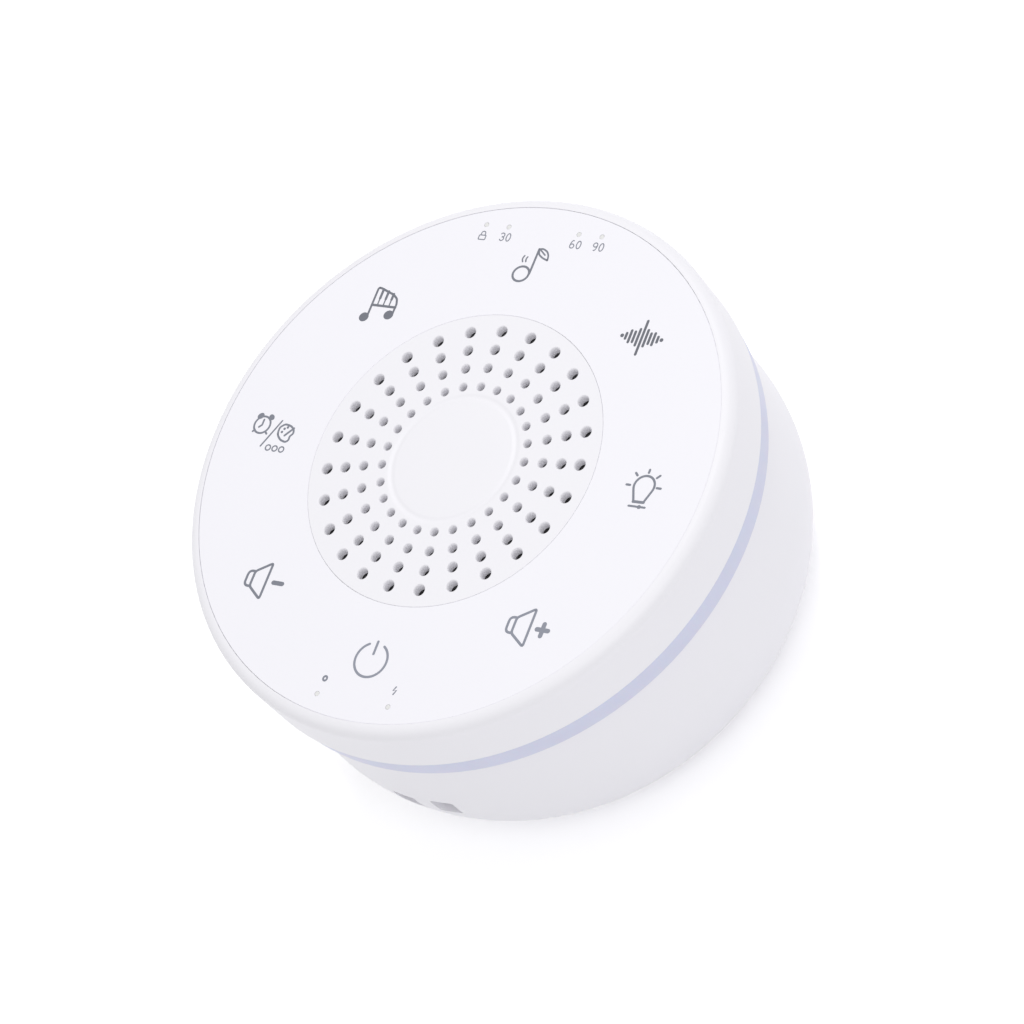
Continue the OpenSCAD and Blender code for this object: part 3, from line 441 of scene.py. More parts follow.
def rubbery(name, base, pore=0.0006, depth=0.00001):
    """Soft rubber or foam: fine pores, painted darker in their pits as painted shade, and a dull, dusty
    bloom.
    """
    finish = Finish(name, base, 0.75)
    pores = finish.ramp(finish.cells(pore), 0.1, 0.5)
    bloom = finish.noise(0.006, detail=5, roughness=0.6)
    # Painted shade: the pits of the pores are darker; the bloom is the rubber's own dusty tone.
    finish.tint(bloom * 0.6 + pores * 0.2, 0.85, 1.2)
    finish.vary(Roughness=0.66 + bloom * 0.18)
    return finish.bump(pores, depth)


def metal(name, base, roughness=0.3, stretch=(1, 1, 14)):
    """Drawn or turned metal: fine lines along one way, with tarnish in soft patches."""
    finish = Finish(name, base, roughness, Metallic=1.0)
    lines = finish.noise(0.0016, detail=5, place=finish.mapped(scale=stretch))
    tarnish = finish.noise(0.004, detail=4)
    finish.tint(tarnish, 1.05, 0.82)
    finish.vary(Roughness=roughness - 0.08 + tarnish * 0.16 + lines * 0.06)
    return finish.bump(lines, 0.000004)


def mineral(name, base, roughness=0.6, metallic=0.15):
    """Sintered ferrite or powder coat: pitted grains, painted darker in their pits as painted shade, with a
    dull glint.
    """
    finish = Finish(name, base, roughness, Metallic=metallic)
    grains = finish.cells(0.0004)
    patches = finish.noise(0.005, detail=4)
    # Painted shade: each grain's pit is darker; the patches are uneven tone of the material.
    finish.tint(grains * 0.6 + patches * 0.5, 0.75, 1.35)
    finish.vary(Roughness=roughness - 0.1 + patches * 0.2)
    return finish.bump(grains, 0.00001)


def solder_mask(name, base, track, pad):
    """Circuit board: tracks of one width in two directions under the mask, and bare round pads."""
    finish = Finish(name, base, 0.32, **{"Coat Weight": 0.3, "Coat Roughness": 0.2})
    east, north, _ = finish.axes()
    pitch = 0.0016
    along = (east / pitch).math("FRACT")
    across = (north / pitch).math("FRACT")
    which = finish.noise(0.009, detail=0) > 0.5
    lane = which * along + (1 - which) * across
    track_mask = (lane > 0.3) * (lane < 0.62) * (finish.noise(0.004, detail=1) > 0.42)
    pads = finish.cells(0.0034) < 0.13
    mottled = finish.noise(0.002, detail=3)
    masked = finish.blend(track_mask, finish.blend(mottled, finish.shade(0.9), finish.shade(1.1)), track)
    finish.vary(
        Base_Color=finish.blend(pads, masked, pad),
        Roughness=0.3 + mottled * 0.08,
        Metallic=pads * 0.9,
    )
    return finish.bump(track_mask * 0.5 + pads * 0.3, 0.00002)


def foil(name, base):
    """Laminated foil: shallow dents and crossing creases in a dull metal film."""
    finish = Finish(name, base, 0.38, Metallic=0.85)
    dents = finish.noise(0.012, detail=3)
    creases = finish.ramp(finish.cells(0.006, feature="DISTANCE_TO_EDGE"), 0.0, 0.06)
    finish.tint(dents, 1.04, 0.88)
    finish.vary(Roughness=0.3 + dents * 0.16)
    return finish.bump(dents * 0.7 + creases * 0.3, 0.00008)


def winding(name, base):
    """Coil of enamelled wire: turns stacked along Z, each a rounded ridge, with painted shade in the
    grooves between them.
    """
    finish = Finish(name, base, 0.25, Metallic=0.9, **{"Coat Weight": 0.6})
    height = finish.axes()[2]
    turns = (height * (2 * math.pi / 0.00018)).math("SINE") * 0.5 + 0.5
    burnt = finish.noise(0.003, detail=3)
    # Painted shade: the grooves between the turns are darker and the ridge tops lighter; the burnt patches
    # vary the enamel's own tone.
    finish.tint(turns * 0.6 + burnt * 0.4, 0.6, 1.15)
    finish.vary(Roughness=0.2 + burnt * 0.15)
    return finish.bump(turns, 0.00006)


def milky(name, base):
    """Milky acrylic that carries light: soft gloss, with faint moulding streaks."""
    finish = Finish(name, base, 0.3, **{"Transmission Weight": 0.1, "IOR": 1.49})
    streaks = finish.noise(0.003, detail=3, place=finish.mapped(scale=(0.3, 2, 2)))
    finish.tint(streaks, 1.02, 0.95)
    finish.vary(Roughness=0.22 + streaks * 0.14)
    return finish.bump(streaks, 0.000005)


# ---------- mesh helpers, in millimetres ----------


def grid(rows, columns, wrap_rows=False, wrap_columns=False, first=0):
    """Quads of a grid of points numbered row by row, closed on itself where it wraps."""
    row = np.arange(rows if wrap_rows else rows - 1)
    column = np.arange(columns if wrap_columns else columns - 1)
    i, j = (part.ravel() for part in np.meshgrid(row, column, indexing="ij"))
    below, beside = (i + 1) % rows, (j + 1) % columns
    corners = [i * columns + j, i * columns + beside, below * columns + beside, below * columns + j]
    return np.stack(corners, axis=1) + first


def joined(parts):
    """One set of points and faces from several (points, faces) pairs."""
    counts = np.cumsum([0] + [len(points) for points, _ in parts])
    points = np.concatenate([points for points, _ in parts])
    faces = [face + start for start, (_, some) in zip(counts, parts) for face in some]
    return points, faces


def revolve(profile, segments=128, start=0.0, turn=360.0, loop=True):
    """Profile (r, z) carried round Z: (r cos a, r sin a, z) for a from start by turn degrees. The
    profile is a closed loop, or a row of points with open ends."""
    whole = turn >= 360
    steps = segments if whole else segments + 1
    angles = np.radians(start + turn * np.arange(steps) / segments)
    radius, height = np.asarray(profile, float).T
    x = np.outer(np.cos(angles), radius)
    y = np.outer(np.sin(angles), radius)
    z = np.broadcast_to(height, x.shape)
    points = np.stack([x, y, z], axis=-1).reshape(-1, 3)
    faces = [grid(steps, len(radius), wrap_rows=whole, wrap_columns=loop)]
    if loop and not whole:
        ends = np.arange(len(radius))
        faces.append(np.stack([ends, ends + (steps - 1) * len(radius)]))
    return points, faces


def box_section(r_in, r_out, low, high, edge, steps=4):
    """Upright rectangle (r, z) with round corners: each corner's middle plus edge (cos a, sin a)."""
    turns = np.radians(np.linspace(0, 90, steps + 1))
    middles = [(r_out - edge, high - edge), (r_in + edge, high - edge),
               (r_in + edge, low + edge), (r_out - edge, low + edge)]
    corners = [
        np.array(middle) + edge * np.column_stack([np.cos(turns + quarter), np.sin(turns + quarter)])
        for middle, quarter in zip(middles, np.radians([0, 90, 180, 270]))
    ]
    return np.vstack(corners)


def unit(vectors):
    """Vectors of length 1."""
    return vectors / np.linalg.norm(vectors, axis=-1, keepdims=True)


def tube(path, radius, side, sides=14):
    """Circle of a radius carried along a path: P + r (cos a N + sin a B), where N is square to the
    path and to the side vector, and B to the path and N. Both ends are closed."""
    along = unit(np.gradient(path, axis=0))
    normal = unit(np.cross(side, along))
    binormal = np.cross(along, normal)
    angles = 2 * math.pi * np.arange(sides) / sides
    ring = np.cos(angles)[:, None] * normal[:, None] + np.sin(angles)[:, None] * binormal[:, None]
    points = (path[:, None] + radius * ring).reshape(-1, 3)
    ends = np.stack([np.arange(sides), np.arange(sides) + (len(path) - 1) * sides])
    return points, [grid(len(path), sides, wrap_columns=True), ends]


def smooth_route(corners, steps=10):
    """Quadratic B-spline through the middles of a given row of points, straight at both ends:
    between two middles it is ((1-t)^2 A + (1 + 2t - 2t^2) B + t^2 C) / 2."""
    corners = np.asarray(corners, float)
    share = np.linspace(0, 1, steps, endpoint=False)[None, :, None]
    before, here, after = corners[:-2, None], corners[1:-1, None], corners[2:, None]
    curve = ((1 - share) ** 2 * before + (1 + 2 * share - 2 * share**2) * here + share**2 * after) / 2
    last = (corners[-2] + corners[-1]) / 2
    return np.vstack([corners[0], curve.reshape(-1, corners.shape[1]), last, corners[-1]])


def lead(corners, radius, turn=0.0, offsets=(0.0,)):
    """Side-by-side leads on one route, which lies in a plane of constant y before it is turned round
    Z: smooth_route() of the corners (x, z), moved along y by each offset, as tubes."""
    route = smooth_route(corners)
    c, s = math.cos(math.radians(turn)), math.sin(math.radians(turn))
    swing = np.array([[c, s, 0], [-s, c, 0], [0, 0, 1]])
    side = np.array([0.0, 1.0, 0.0]) @ swing
    lanes = [np.column_stack([route[:, 0], np.full(len(route), y), route[:, 1]]) for y in offsets]
    return joined([tube(lane @ swing, radius, side) for lane in lanes])


def helix(x, y, foot, rise, radius, wire, turns):
    """Coil spring with flat ends: (r cos a, r sin a, foot + rise g), where a goes evenly through the
    turns, and g is 0 over the first eighth of them, 1 over the last, and even between."""
    share = np.linspace(0, 1, turns * 28 + 1)
    a = 2 * math.pi * turns * share
    height = foot + rise * np.clip((share - 0.125) / 0.75, 0, 1)
    path = np.column_stack([x + radius * np.cos(a), y + radius * np.sin(a), height])
    return tube(path, wire, np.array([0.0, 0.0, 1.0]), sides=10)


def slab(middle, size, corner, edge, steps=5):
    """Flat pad with rounded outline and edges: the outline's corner middles plus (corner - i) times
    the outward direction, at height h, where i = edge (1 - sin v) and h = +-(t / 2 - edge (1 - cos v))
    go round the edge with v."""
    half = np.array(size) / 2
    a = np.radians(np.arange(0, 360, 90)[:, None] + np.linspace(0, 90, steps + 1))
    signs = np.array([(1, 1), (-1, 1), (-1, -1), (1, -1)])
    base = signs[:, None, :] * (half[:2] - corner)
    ways = np.stack([np.cos(a), np.sin(a)], axis=-1)
    v = np.radians(np.linspace(0, 180, 2 * steps + 1))
    inset = edge * (1 - np.sin(v))
    height = np.where(v < math.pi / 2, 1, -1) * (half[2] - edge * (1 - np.abs(np.cos(v))))
    flat = (base + (corner - inset)[:, None, None, None] * ways).reshape(len(v), -1, 2)
    level = np.broadcast_to(height[:, None, None], (*flat.shape[:2], 1))
    points = np.concatenate([flat, level], axis=-1)
    count = points.shape[1]
    lids = np.stack([np.arange(count), np.arange(count) + (len(v) - 1) * count])
    return points.reshape(-1, 3) + middle, [grid(len(v), count, wrap_columns=True), lids]


def hole_cells(settings, low, high, ring_r, edges, side):
    """Cells of a drilled plate, each with one lipped hole and bounded by two arcs and two radii B(u).
    Row by row a cell goes from B along the top to the lip, round it, down the hole's wall and back to
    B along the underside: P = (1 - s) B(u) + s (C + d (cos u, sin u)), with a share s, a distance d
    from the hole's middle C and a height for each row."""
    count, rings = settings.per_ring, len(ring_r)
    lip, sink, throat = settings.lip / MM, settings.lip_depth / MM, settings.throat / MM
    support, burr = 0.03, 0.08
    hole_r = np.linspace(settings.inner_hole, settings.outer_hole, rings) / MM
    first = settings.first_column + 2 * math.pi * np.arange(count) / count
    half = math.pi / count
    t = np.linspace(0, 1, side + 1)[:-1]
    across = np.concatenate([1 + 0 * t, 1 - t, 0 * t, t])
    around = np.concatenate([2 * t - 1, 1 + 0 * t, 1 - 2 * t, 0 * t - 1])
    bound_r = edges[:-1, None] + np.diff(edges)[:, None] * across
    bound_a = first[:, None] + half * around
    bound = bound_r[:, None, :, None] * np.stack([np.cos(bound_a), np.sin(bound_a)], axis=-1)
    hole_a = first[:, None] + math.pi * (np.arange(4 * side) / (2 * side) - 0.25)
    ways = np.stack([np.cos(hole_a), np.sin(hole_a)], axis=-1)
    middle = ring_r[:, None, None] * np.stack([np.cos(first), np.sin(first)], axis=-1)
    bend = np.radians(np.linspace(0, 90, 9))
    share = np.concatenate([[0, 0.5, 1], np.ones(len(bend)), [1, 1, 0]])
    edge_way = lip - (lip + throat) * np.sin(bend)
    beyond = np.concatenate([[lip] * 2, [lip + support], edge_way, [-throat, burr - throat, 0]])
    level = np.concatenate([[high] * 3, high - sink * (1 - np.cos(bend)), [low + burr, low, low]])
    reach = (hole_r[:, None] + beyond)[:, None, :, None, None]
    rim = middle[:, :, None, None] + reach * ways[None, :, None]
    flat = (1 - share)[:, None, None] * bound[:, :, None] + share[:, None, None] * rim
    height = np.broadcast_to(level[:, None, None], (*flat.shape[:-1], 1))
    points = np.concatenate([flat, height], axis=-1).reshape(-1, 3)
    cell = grid(len(share), 4 * side, wrap_columns=True)
    shift = len(share) * 4 * side * np.arange(rings * count)
    return points, [(cell[None] + shift[:, None, None]).reshape(-1, 4)]


def plain_middle(settings, high, end_r):
    """Top of the plate inside the holes (r, z): flat, with a shallow ring d (1 + cos(pi (r - R) / w)) / 2
    deep, where R is the ring's radius and w its half width."""
    ring, width, core = settings.dip_ring / MM, settings.dip_width / MM, 5
    dip_r = np.linspace(ring - width, ring + width, 13)
    dip = settings.dip_depth / MM * (1 + np.cos(math.pi * (dip_r - ring) / width)) / 2
    dip_row = np.column_stack([dip_r, high - dip])
    return np.vstack([[(0, high), (core, high)], dip_row, [(end_r, high)]])


def plate_rim(settings, low, high, start_r, plate_r, skirt, skirt_low):
    """Rim of the plate outside the holes (r, z): its top, a rounded edge, the skirt and the underside."""
    edge = settings.edge / MM
    bend = np.radians(np.linspace(0, 90, 9))
    round_edge = plate_r - edge * (1 - np.sin(bend)), high - edge * (1 - np.cos(bend))
    return np.vstack([
        [(start_r, high), (plate_r - 2 * edge, high)],
        np.column_stack(round_edge),
        [(plate_r, low), (skirt[1], low), (skirt[1], skirt_low), (skirt[0], skirt_low)],
        [(skirt[0], low), (start_r, low)],
    ])


def drilled_plate(settings, low, high, plate_r, skirt, skirt_low):
    """Round plate drilled with four rings of holes: the cells round the holes, and a plain middle and
    a rim with a skirt, which are turned profiles on the directions of the cells' corners."""
    rings, side, margin, overlap = 4, 8, 1.25, 0.02
    step, outer = settings.ring_step / MM, settings.outer_ring / MM
    ring_r = outer - step * np.arange(rings)[::-1]
    edges = np.concatenate([[ring_r[0] - margin], ring_r[1:] - step / 2, [skirt[0] - overlap]])
    turned = [
        plain_middle(settings, high, edges[0]),
        [(0, low), (edges[0], low)],
        plate_rim(settings, low, high, edges[-1], plate_r, skirt, skirt_low),
    ]
    segments = side * settings.per_ring
    start = math.degrees(settings.first_column - math.pi / settings.per_ring)
    cells = hole_cells(settings, low, high, ring_r, edges, side)
    return joined([cells] + [revolve(part, segments, start, loop=False) for part in turned])


def bevelled_boxes(middles, sizes, bevel):
    """Boxes with cut edges: each corner is three points, half a side from the middle along one
    axis and a bevel less along the two others."""
    signs = np.array([(x, y, z) for x in (-1, 1) for y in (-1, 1) for z in (-1, 1)], float)
    half = np.asarray(sizes, float)[:, None, None, :] / 2
    short = np.full((3, 3), bevel) - np.diag([bevel] * 3)
    corners = signs[:, None, :] * (half - short[None, None])
    points = (corners + np.asarray(middles, float)[:, None, None, :]).reshape(-1, 3)
    spot = {tuple(sign): 3 * number for number, sign in enumerate(signs)}
    axes = np.eye(3)
    flat, edges = [], []
    for axis in range(3):
        a, b = (axis + 1) % 3, (axis + 2) % 3
        corner = {
            (way, p, q): spot[tuple(way * axes[axis] + p * axes[a] + q * axes[b])]
            for way in (-1, 1) for p in (-1, 1) for q in (-1, 1)
        }
        for way in (-1, 1):
            turn = [(-1, -1), (1, -1), (1, 1), (-1, 1)]
            flat.append([corner[way, p, q] + axis for p, q in turn])
        for p in (-1, 1):
            for q in (-1, 1):
                first, last = corner[-1, p, q], corner[1, p, q]
                edges.append([first + a, last + a, last + b, first + b])
    tips = [[start, start + 1, start + 2] for start in spot.values()]
    shift = (24 * np.arange(len(points) // 24))[:, None, None]
    quads = (np.array(flat + edges)[None] + shift).reshape(-1, 4)
    cut_corners = (np.array(tips)[None] + shift).reshape(-1, 3)
    return points, [quads, cut_corners]


def shown(name, solid, material, sharp=32.0):
    """An object from points in millimetres and faces, with its finish."""
    points, faces = solid
    loops = np.concatenate([face.ravel() for face in faces])
    sizes = np.concatenate([np.full(len(face), face.shape[1]) for face in faces])
    mesh = bpy.data.meshes.new(name)
    mesh.vertices.add(len(points))
    mesh.vertices.foreach_set("co", (np.asarray(points) * MM).astype(np.float32).ravel())
    mesh.loops.add(len(loops))
    mesh.loops.foreach_set("vertex_index", loops.astype(np.int32))
    mesh.polygons.add(len(sizes))
    mesh.polygons.foreach_set("loop_start", np.concatenate([[0], np.cumsum(sizes)[:-1]]).astype(np.int32))
    mesh.update(calc_edges=True)
    skin = bmesh.new()
    skin.from_mesh(mesh)
    bmesh.ops.remove_doubles(skin, verts=skin.verts, dist=1e-7)
    bmesh.ops.recalc_face_normals(skin, faces=skin.faces)
    skin.to_mesh(mesh)
    skin.free()
    mesh.shade_smooth()
    mesh.set_sharp_from_angle(angle=math.radians(sharp))
    mesh.materials.append(material)
    made = bpy.data.objects.new(name, mesh)
    bpy.context.scene.collection.objects.link(made)
    return made


def turned_boxes(middles, turns, size, bevel):
    """Boxes of one size with cut edges, each turned round Z by its own angle about its middle."""
    points, faces = bevelled_boxes(np.zeros((len(middles), 3)), np.full((len(middles), 3), size), bevel)
    points = points.reshape(len(middles), -1, 3)
    c, s = np.cos(turns)[:, None], np.sin(turns)[:, None]
    x, y, z = np.moveaxis(points, -1, 0)
    points = np.stack([c * x - s * y, s * x + c * y, z], axis=-1) + np.asarray(middles)[:, None]
    return points.reshape(-1, 3), faces


def piece(name, solid, material, slot, body=HOUSING, sharp=32.0):
    """A piece of the machine that rides on a body, with the given finish; the material slot is not used."""
    made = shown(name, solid, material, sharp)
    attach(made, body)
    return made


def dress(nodes, material):
    """Gives CAD nodes a finish."""
    for node in nodes:
        mesh = NODES[node].data
        mesh.materials.clear()
        mesh.materials.append(material)


# ---------- printed symbols ----------


def arc(x, y, radius, start, end, flat=1.0):
    """Points on an arc: (x + r cos a, y + flat r sin a), a from start to end in degrees."""
    a = np.radians(np.linspace(start, end, max(4, int(abs(end - start) / 7) + 2)))
    return np.column_stack([x + radius * np.cos(a), y + flat * radius * np.sin(a)])


def ellipse(x, y, radius, flat=1.0, tilt=0.0):
    """Closed ring of points (r cos a, flat r sin a), turned by a tilt in degrees, about (x, y)."""
    turn = math.radians(tilt)
    matrix = np.array([[math.cos(turn), math.sin(turn)], [-math.sin(turn), math.cos(turn)]])
    return arc(0, 0, radius, 0, 360, flat)[:-1] @ matrix + [x, y]


def rounded(corners, radius, closed=False):
    """Row of points whose corners are quadratic curves from a radius before to a radius after. The
    radius is one for all corners, or one for each."""
    corners, radius = np.asarray(corners, float), np.reshape(radius, (-1, 1))
    if closed:
        ahead, behind = np.roll(corners, -1, axis=0), np.roll(corners, 1, axis=0)
        inner = corners
    else:
        ahead, behind, inner = corners[2:], corners[:-2], corners[1:-1]
    t = np.linspace(0, 1, 7)[None, :, None]
    start = inner + radius * unit(behind - inner)
    end = inner + radius * unit(ahead - inner)
    curve = (1 - t) ** 2 * start[:, None] + 2 * t * (1 - t) * inner[:, None] + t**2 * end[:, None]
    curve = curve.reshape(-1, 2)
    return curve if closed else np.vstack([corners[0], curve, corners[-1]])


class Drawing:
    """One printed symbol: strokes and filled outlines in millimetres about its own middle."""

    def __init__(self, x, y, settings):
        self.middle = np.array([x, y])
        self.width = settings.stroke / MM
        self.level = span("touch_panel")[1][2]
        self.film = settings.film / MM
        self.sunk = 0.01
        self.lift = 0.0004
        self.parts = []

    def levels(self):
        """Heights of the film's underside and top: each new part lies a hair above the last."""
        return self.level - self.sunk, self.level + self.film + self.lift * len(self.parts)

    def layer(self, left, right):
        """Closed film between two edges, each a row of points, one edge's rails over the other's."""
        bottom, top = self.levels()
        rails = [(left, bottom), (left, top), (right, top), (right, bottom)]
        points = np.stack([np.column_stack([edge, np.full(len(edge), z)]) for edge, z in rails], axis=1)
        return points.reshape(-1, 3)

    def stroke(self, path, width=None, closed=False):
        """Line of one width: its edges lie half a width to each side of the path, square to it.
        An open line's ends are round: the half width falls as sqrt(1 - (s / h)^2) over the last h."""
        path = np.asarray(path, float) + self.middle
        half = (width or self.width) / 2
        if closed:
            along = unit(np.roll(path, -1, axis=0) - np.roll(path, 1, axis=0))
            halves = np.full(len(path), half)
        else:
            turn = np.radians([88, 66, 44, 22])
            cap = half * np.sin(turn)[:, None]
            first, last = unit(path[:1] - path[1:2]), unit(path[-1:] - path[-2:-1])
            path = np.vstack([path[0] + cap * first, path, path[-1] + cap[::-1] * last])
            along = unit(np.gradient(path, axis=0))
            ends = half * np.cos(turn)
            halves = np.concatenate([ends, np.full(len(path) - 2 * len(turn), half), ends[::-1]])
        aside = np.column_stack([-along[:, 1], along[:, 0]]) * halves[:, None]
        points = self.layer(path + aside, path - aside)
        faces = [grid(len(path), 4, wrap_rows=closed, wrap_columns=True)]
        if not closed:
            ends = np.arange(4)
            faces.append(np.stack([ends, ends + 4 * (len(path) - 1)]))
        self.parts.append((points, faces))

    def fill(self, outline):
        """Filled outline: a top and a bottom joined along the edge."""
        outline = np.asarray(outline, float) + self.middle
        points = np.vstack([np.column_stack([outline, np.full(len(outline), z)]) for z in self.levels()])
        lids = np.arange(len(points)).reshape(2, -1)
        self.parts.append((points, [grid(2, len(outline), wrap_columns=True), lids]))

    def disc(self, x, y, radius, flat=1.0, tilt=0.0):
        """Filled ellipse, turned by a tilt in degrees."""
        self.fill(ellipse(x, y, radius, flat, tilt))

    def loop(self, x, y, radius, flat=1.0, tilt=0.0, width=None):
        """Outlined ellipse, turned by a tilt in degrees."""
        self.stroke(ellipse(x, y, radius, flat, tilt), width, closed=True)

    def solid(self):
        """The symbol's points and faces."""
        return joined(self.parts)


def draw_power(drawing):
    """Open ring with a tick through its gap."""
    drawing.stroke(arc(0.03, 0, 3.03, 118, 420), 0.43)
    drawing.stroke([(0.05, 1.08), (0.04, 3.31)], 0.44)


def draw_horn(drawing, box_x, box_y, cone_x, cone_y):
    """Loudspeaker outline: a small box and the cone that opens from it."""
    left, right = box_x
    low, high = box_y
    drawing.stroke(rounded([(right, low), (left, low), (left, high), (right, high)], 0.85), 0.45)
    corners = [(right, low), (cone_x, cone_y[0]), (cone_x, cone_y[1]), (right, high)]
    drawing.stroke(rounded(corners, 0.5, closed=True), 0.45, closed=True)


def draw_quieter(drawing):
    """Loudspeaker with a minus."""
    draw_horn(drawing, (-3.98, -2.76), (-1.88, 0.88), 0.13, (-3.85, 2.8))
    drawing.stroke([(1.64, -0.58), (3.44, -0.58)], 0.8)


def draw_louder(drawing):
    """Loudspeaker with a plus."""
    draw_horn(drawing, (-3.78, -2.58), (-2.15, 0.58), 0.4, (-4.12, 2.6))
    drawing.stroke([(1.77, -0.8), (3.85, -0.8)], 0.8)
    drawing.stroke([(2.81, -1.84), (2.81, 0.24)], 0.8)


def draw_bulb(drawing):
    """Light bulb with its base and five rays."""
    drawing.stroke(np.vstack([[(1.02, -2.75)], arc(0.05, 0, 1.86, -22, 202), [(-0.85, -2.8)]]))
    drawing.stroke([(-0.88, -2.85), (1.05, -2.8)], 0.5)
    drawing.stroke([(-1.4, -3.68), (1.62, -3.64)], 0.36)
    drawing.disc(0.54, -3.66, 0.38, 0.9)
    rays = [
        [(-0.02, 2.45), (-0.02, 2.97)],
        [(-1.87, 1.72), (-2.3, 2.1)],
        [(1.78, 1.73), (2.22, 2.2)],
        [(-2.55, -0.1), (-3.2, -0.1)],
        [(2.42, 0.0), (3.15, 0.0)],
    ]
    for ray in rays:
        drawing.stroke(ray)


def draw_wave(drawing):
    """Sound wave: upright bars whose heights rise and fall from the middle."""
    step, x, y = 0.755, -0.05, -0.22
    halves = [3.12, 1.5, 0.95, 1.08, 0.5]
    drawing.stroke([(x, y - halves[0]), (x, y + halves[0])], 0.47)
    for number, half in enumerate(halves[1:], 1):
        for side in (-step * number, step * number):
            drawing.stroke([(x + side, y - half), (x + side, y + half)], 0.47)
    for side in (-5 * step, 5 * step):
        drawing.disc(x + side, y, 0.34)


def draw_leaf_note(drawing):
    """Note whose flag is a leaf, with two small sound arcs."""
    drawing.loop(-1.45, -2.0, 1.54, 0.92, 8)
    drawing.stroke([(0.16, -1.8), (0.2, 2.95)])
    leaf = [(0.2, 2.95), (0.95, 3.1), (1.95, 2.65), (2.47, 1.9), (2.6, 1.0), (1.5, 1.35), (0.6, 1.9)]
    drawing.stroke(rounded(leaf, [0.1, 0.35, 0.4, 0.35, 0.06, 0.4, 0.35], closed=True), 0.31, closed=True)
    drawing.stroke([(0.6, 2.8), (1.75, 1.95)], 0.28)
    drawing.stroke(rounded([(-2.1, 1.44), (-2.37, 0.85), (-2.05, 0.28)], 0.4), 0.27)
    drawing.stroke(rounded([(-1.42, 1.27), (-1.62, 0.85), (-1.45, 0.37)], 0.3), 0.27)


def draw_piano_note(drawing):
    """Pair of notes joined by a beam of piano keys."""
    drawing.disc(-2.6, -2.64, 0.94, 0.92, 15)
    drawing.disc(2.15, -1.72, 0.94, 0.92, 15)
    beam = [
        (-2.0, -2.5), (-2.0, 3.17), (-1.47, 3.17), (1.5, 2.2), (2.5, 1.5), (2.88, 0.5), (2.85, -1.5),
    ]
    drawing.stroke(rounded(beam, 0.3))
    drawing.stroke([(-2.0, -0.18), (2.89, -0.18)], 0.45)
    for x, top in ((-0.88, 2.98), (0.31, 2.66), (1.51, 2.3)):
        drawing.stroke([(x, top), (x, 1.2)], 0.48)
        drawing.stroke([(x, 1.2), (x, -0.18)], 0.25)


def draw_clock_palette(drawing):
    """Alarm clock and paint palette with a slash between them, over three small rings."""
    thin = 0.36
    drawing.loop(-2.93, 1.08, 1.6, width=thin)
    drawing.disc(-3.92, 2.66, 0.68, 0.8, 40)
    drawing.disc(-1.62, 2.7, 0.62, 0.78, -40)
    drawing.stroke([(-2.95, 2.05), (-2.95, 1.05), (-3.42, 0.6)], thin)
    drawing.stroke([(-4.0, -0.02), (-4.3, -0.35)], thin)
    drawing.stroke([(-1.75, -0.1), (-1.33, -0.46)], thin)
    drawing.stroke([(0.79, 2.33), (-1.5, -2.82)], 0.3)
    palette = [
        (0.87, 0.05), (0.85, 1.1), (1.71, 1.8), (3.0, 1.6), (3.83, 1.0), (4.05, 0.25), (3.5, -0.3),
        (3.65, -1.05), (3.1, -1.5), (1.95, -1.2), (1.13, -0.5),
    ]
    drawing.stroke(rounded(palette, 0.35, closed=True), thin, closed=True)
    drawing.stroke([(2.43, -0.3), (3.75, 1.25)], 0.38)
    for x, y in ((1.62, 0.28), (1.9, 0.92), (2.45, 1.25)):
        drawing.disc(x, y, 0.24)
    for x in (0.15, 1.55, 2.95):
        drawing.loop(x, -2.92, 0.5, width=0.24)


# Each symbol's direction from the middle in degrees, the lightness of its ink as a share of the ink
# setting's, and its drawing
SYMBOLS = {
    "symbol_power": (-90, 1.55, draw_power),
    "symbol_quieter": (-135, 1.12, draw_quieter),
    "symbol_louder": (-45, 1.45, draw_louder),
    "symbol_lamp": (0, 1.18, draw_bulb),
    "symbol_sound_wave": (45, 0.72, draw_wave),
    "symbol_leaf_note": (90, 1.05, draw_leaf_note),
    "symbol_piano_note": (135, 0.88, draw_piano_note),
    "symbol_clock_palette": (180, 1.15, draw_clock_palette),
}


def draw_digit(drawing, digit, x, y, height, width):
    """One of the digits 0, 3, 6 and 9 as strokes, from a left edge and a base line."""
    half = height / 2
    bowl = 0.27 * height
    middle = x + bowl
    if digit == "0":
        drawing.loop(middle, y + half, bowl, half / bowl, width=width)
    if digit == "3":
        drawing.stroke(arc(middle, y + height - bowl, bowl, 150, -90), width)
        drawing.stroke(arc(middle, y + bowl, bowl, 90, -150), width)
    if digit in "69":
        way = 1 if digit == "6" else -1
        centre = y + half - way * (half - bowl)
        drawing.loop(middle, centre, bowl, width=width)
        bend = arc(0, 0, bowl, 180, 75, (height - bowl) / bowl)
        drawing.stroke(np.array([middle, centre]) + way * bend, width)


# ---------- operators ----------


def key_places(context):
    """Middles (x, y) of the eight keys."""
    turn = np.radians(45 * np.arange(8))
    return context.scene.machine_print.key_ring / MM * np.column_stack([np.cos(turn), np.sin(turn)])


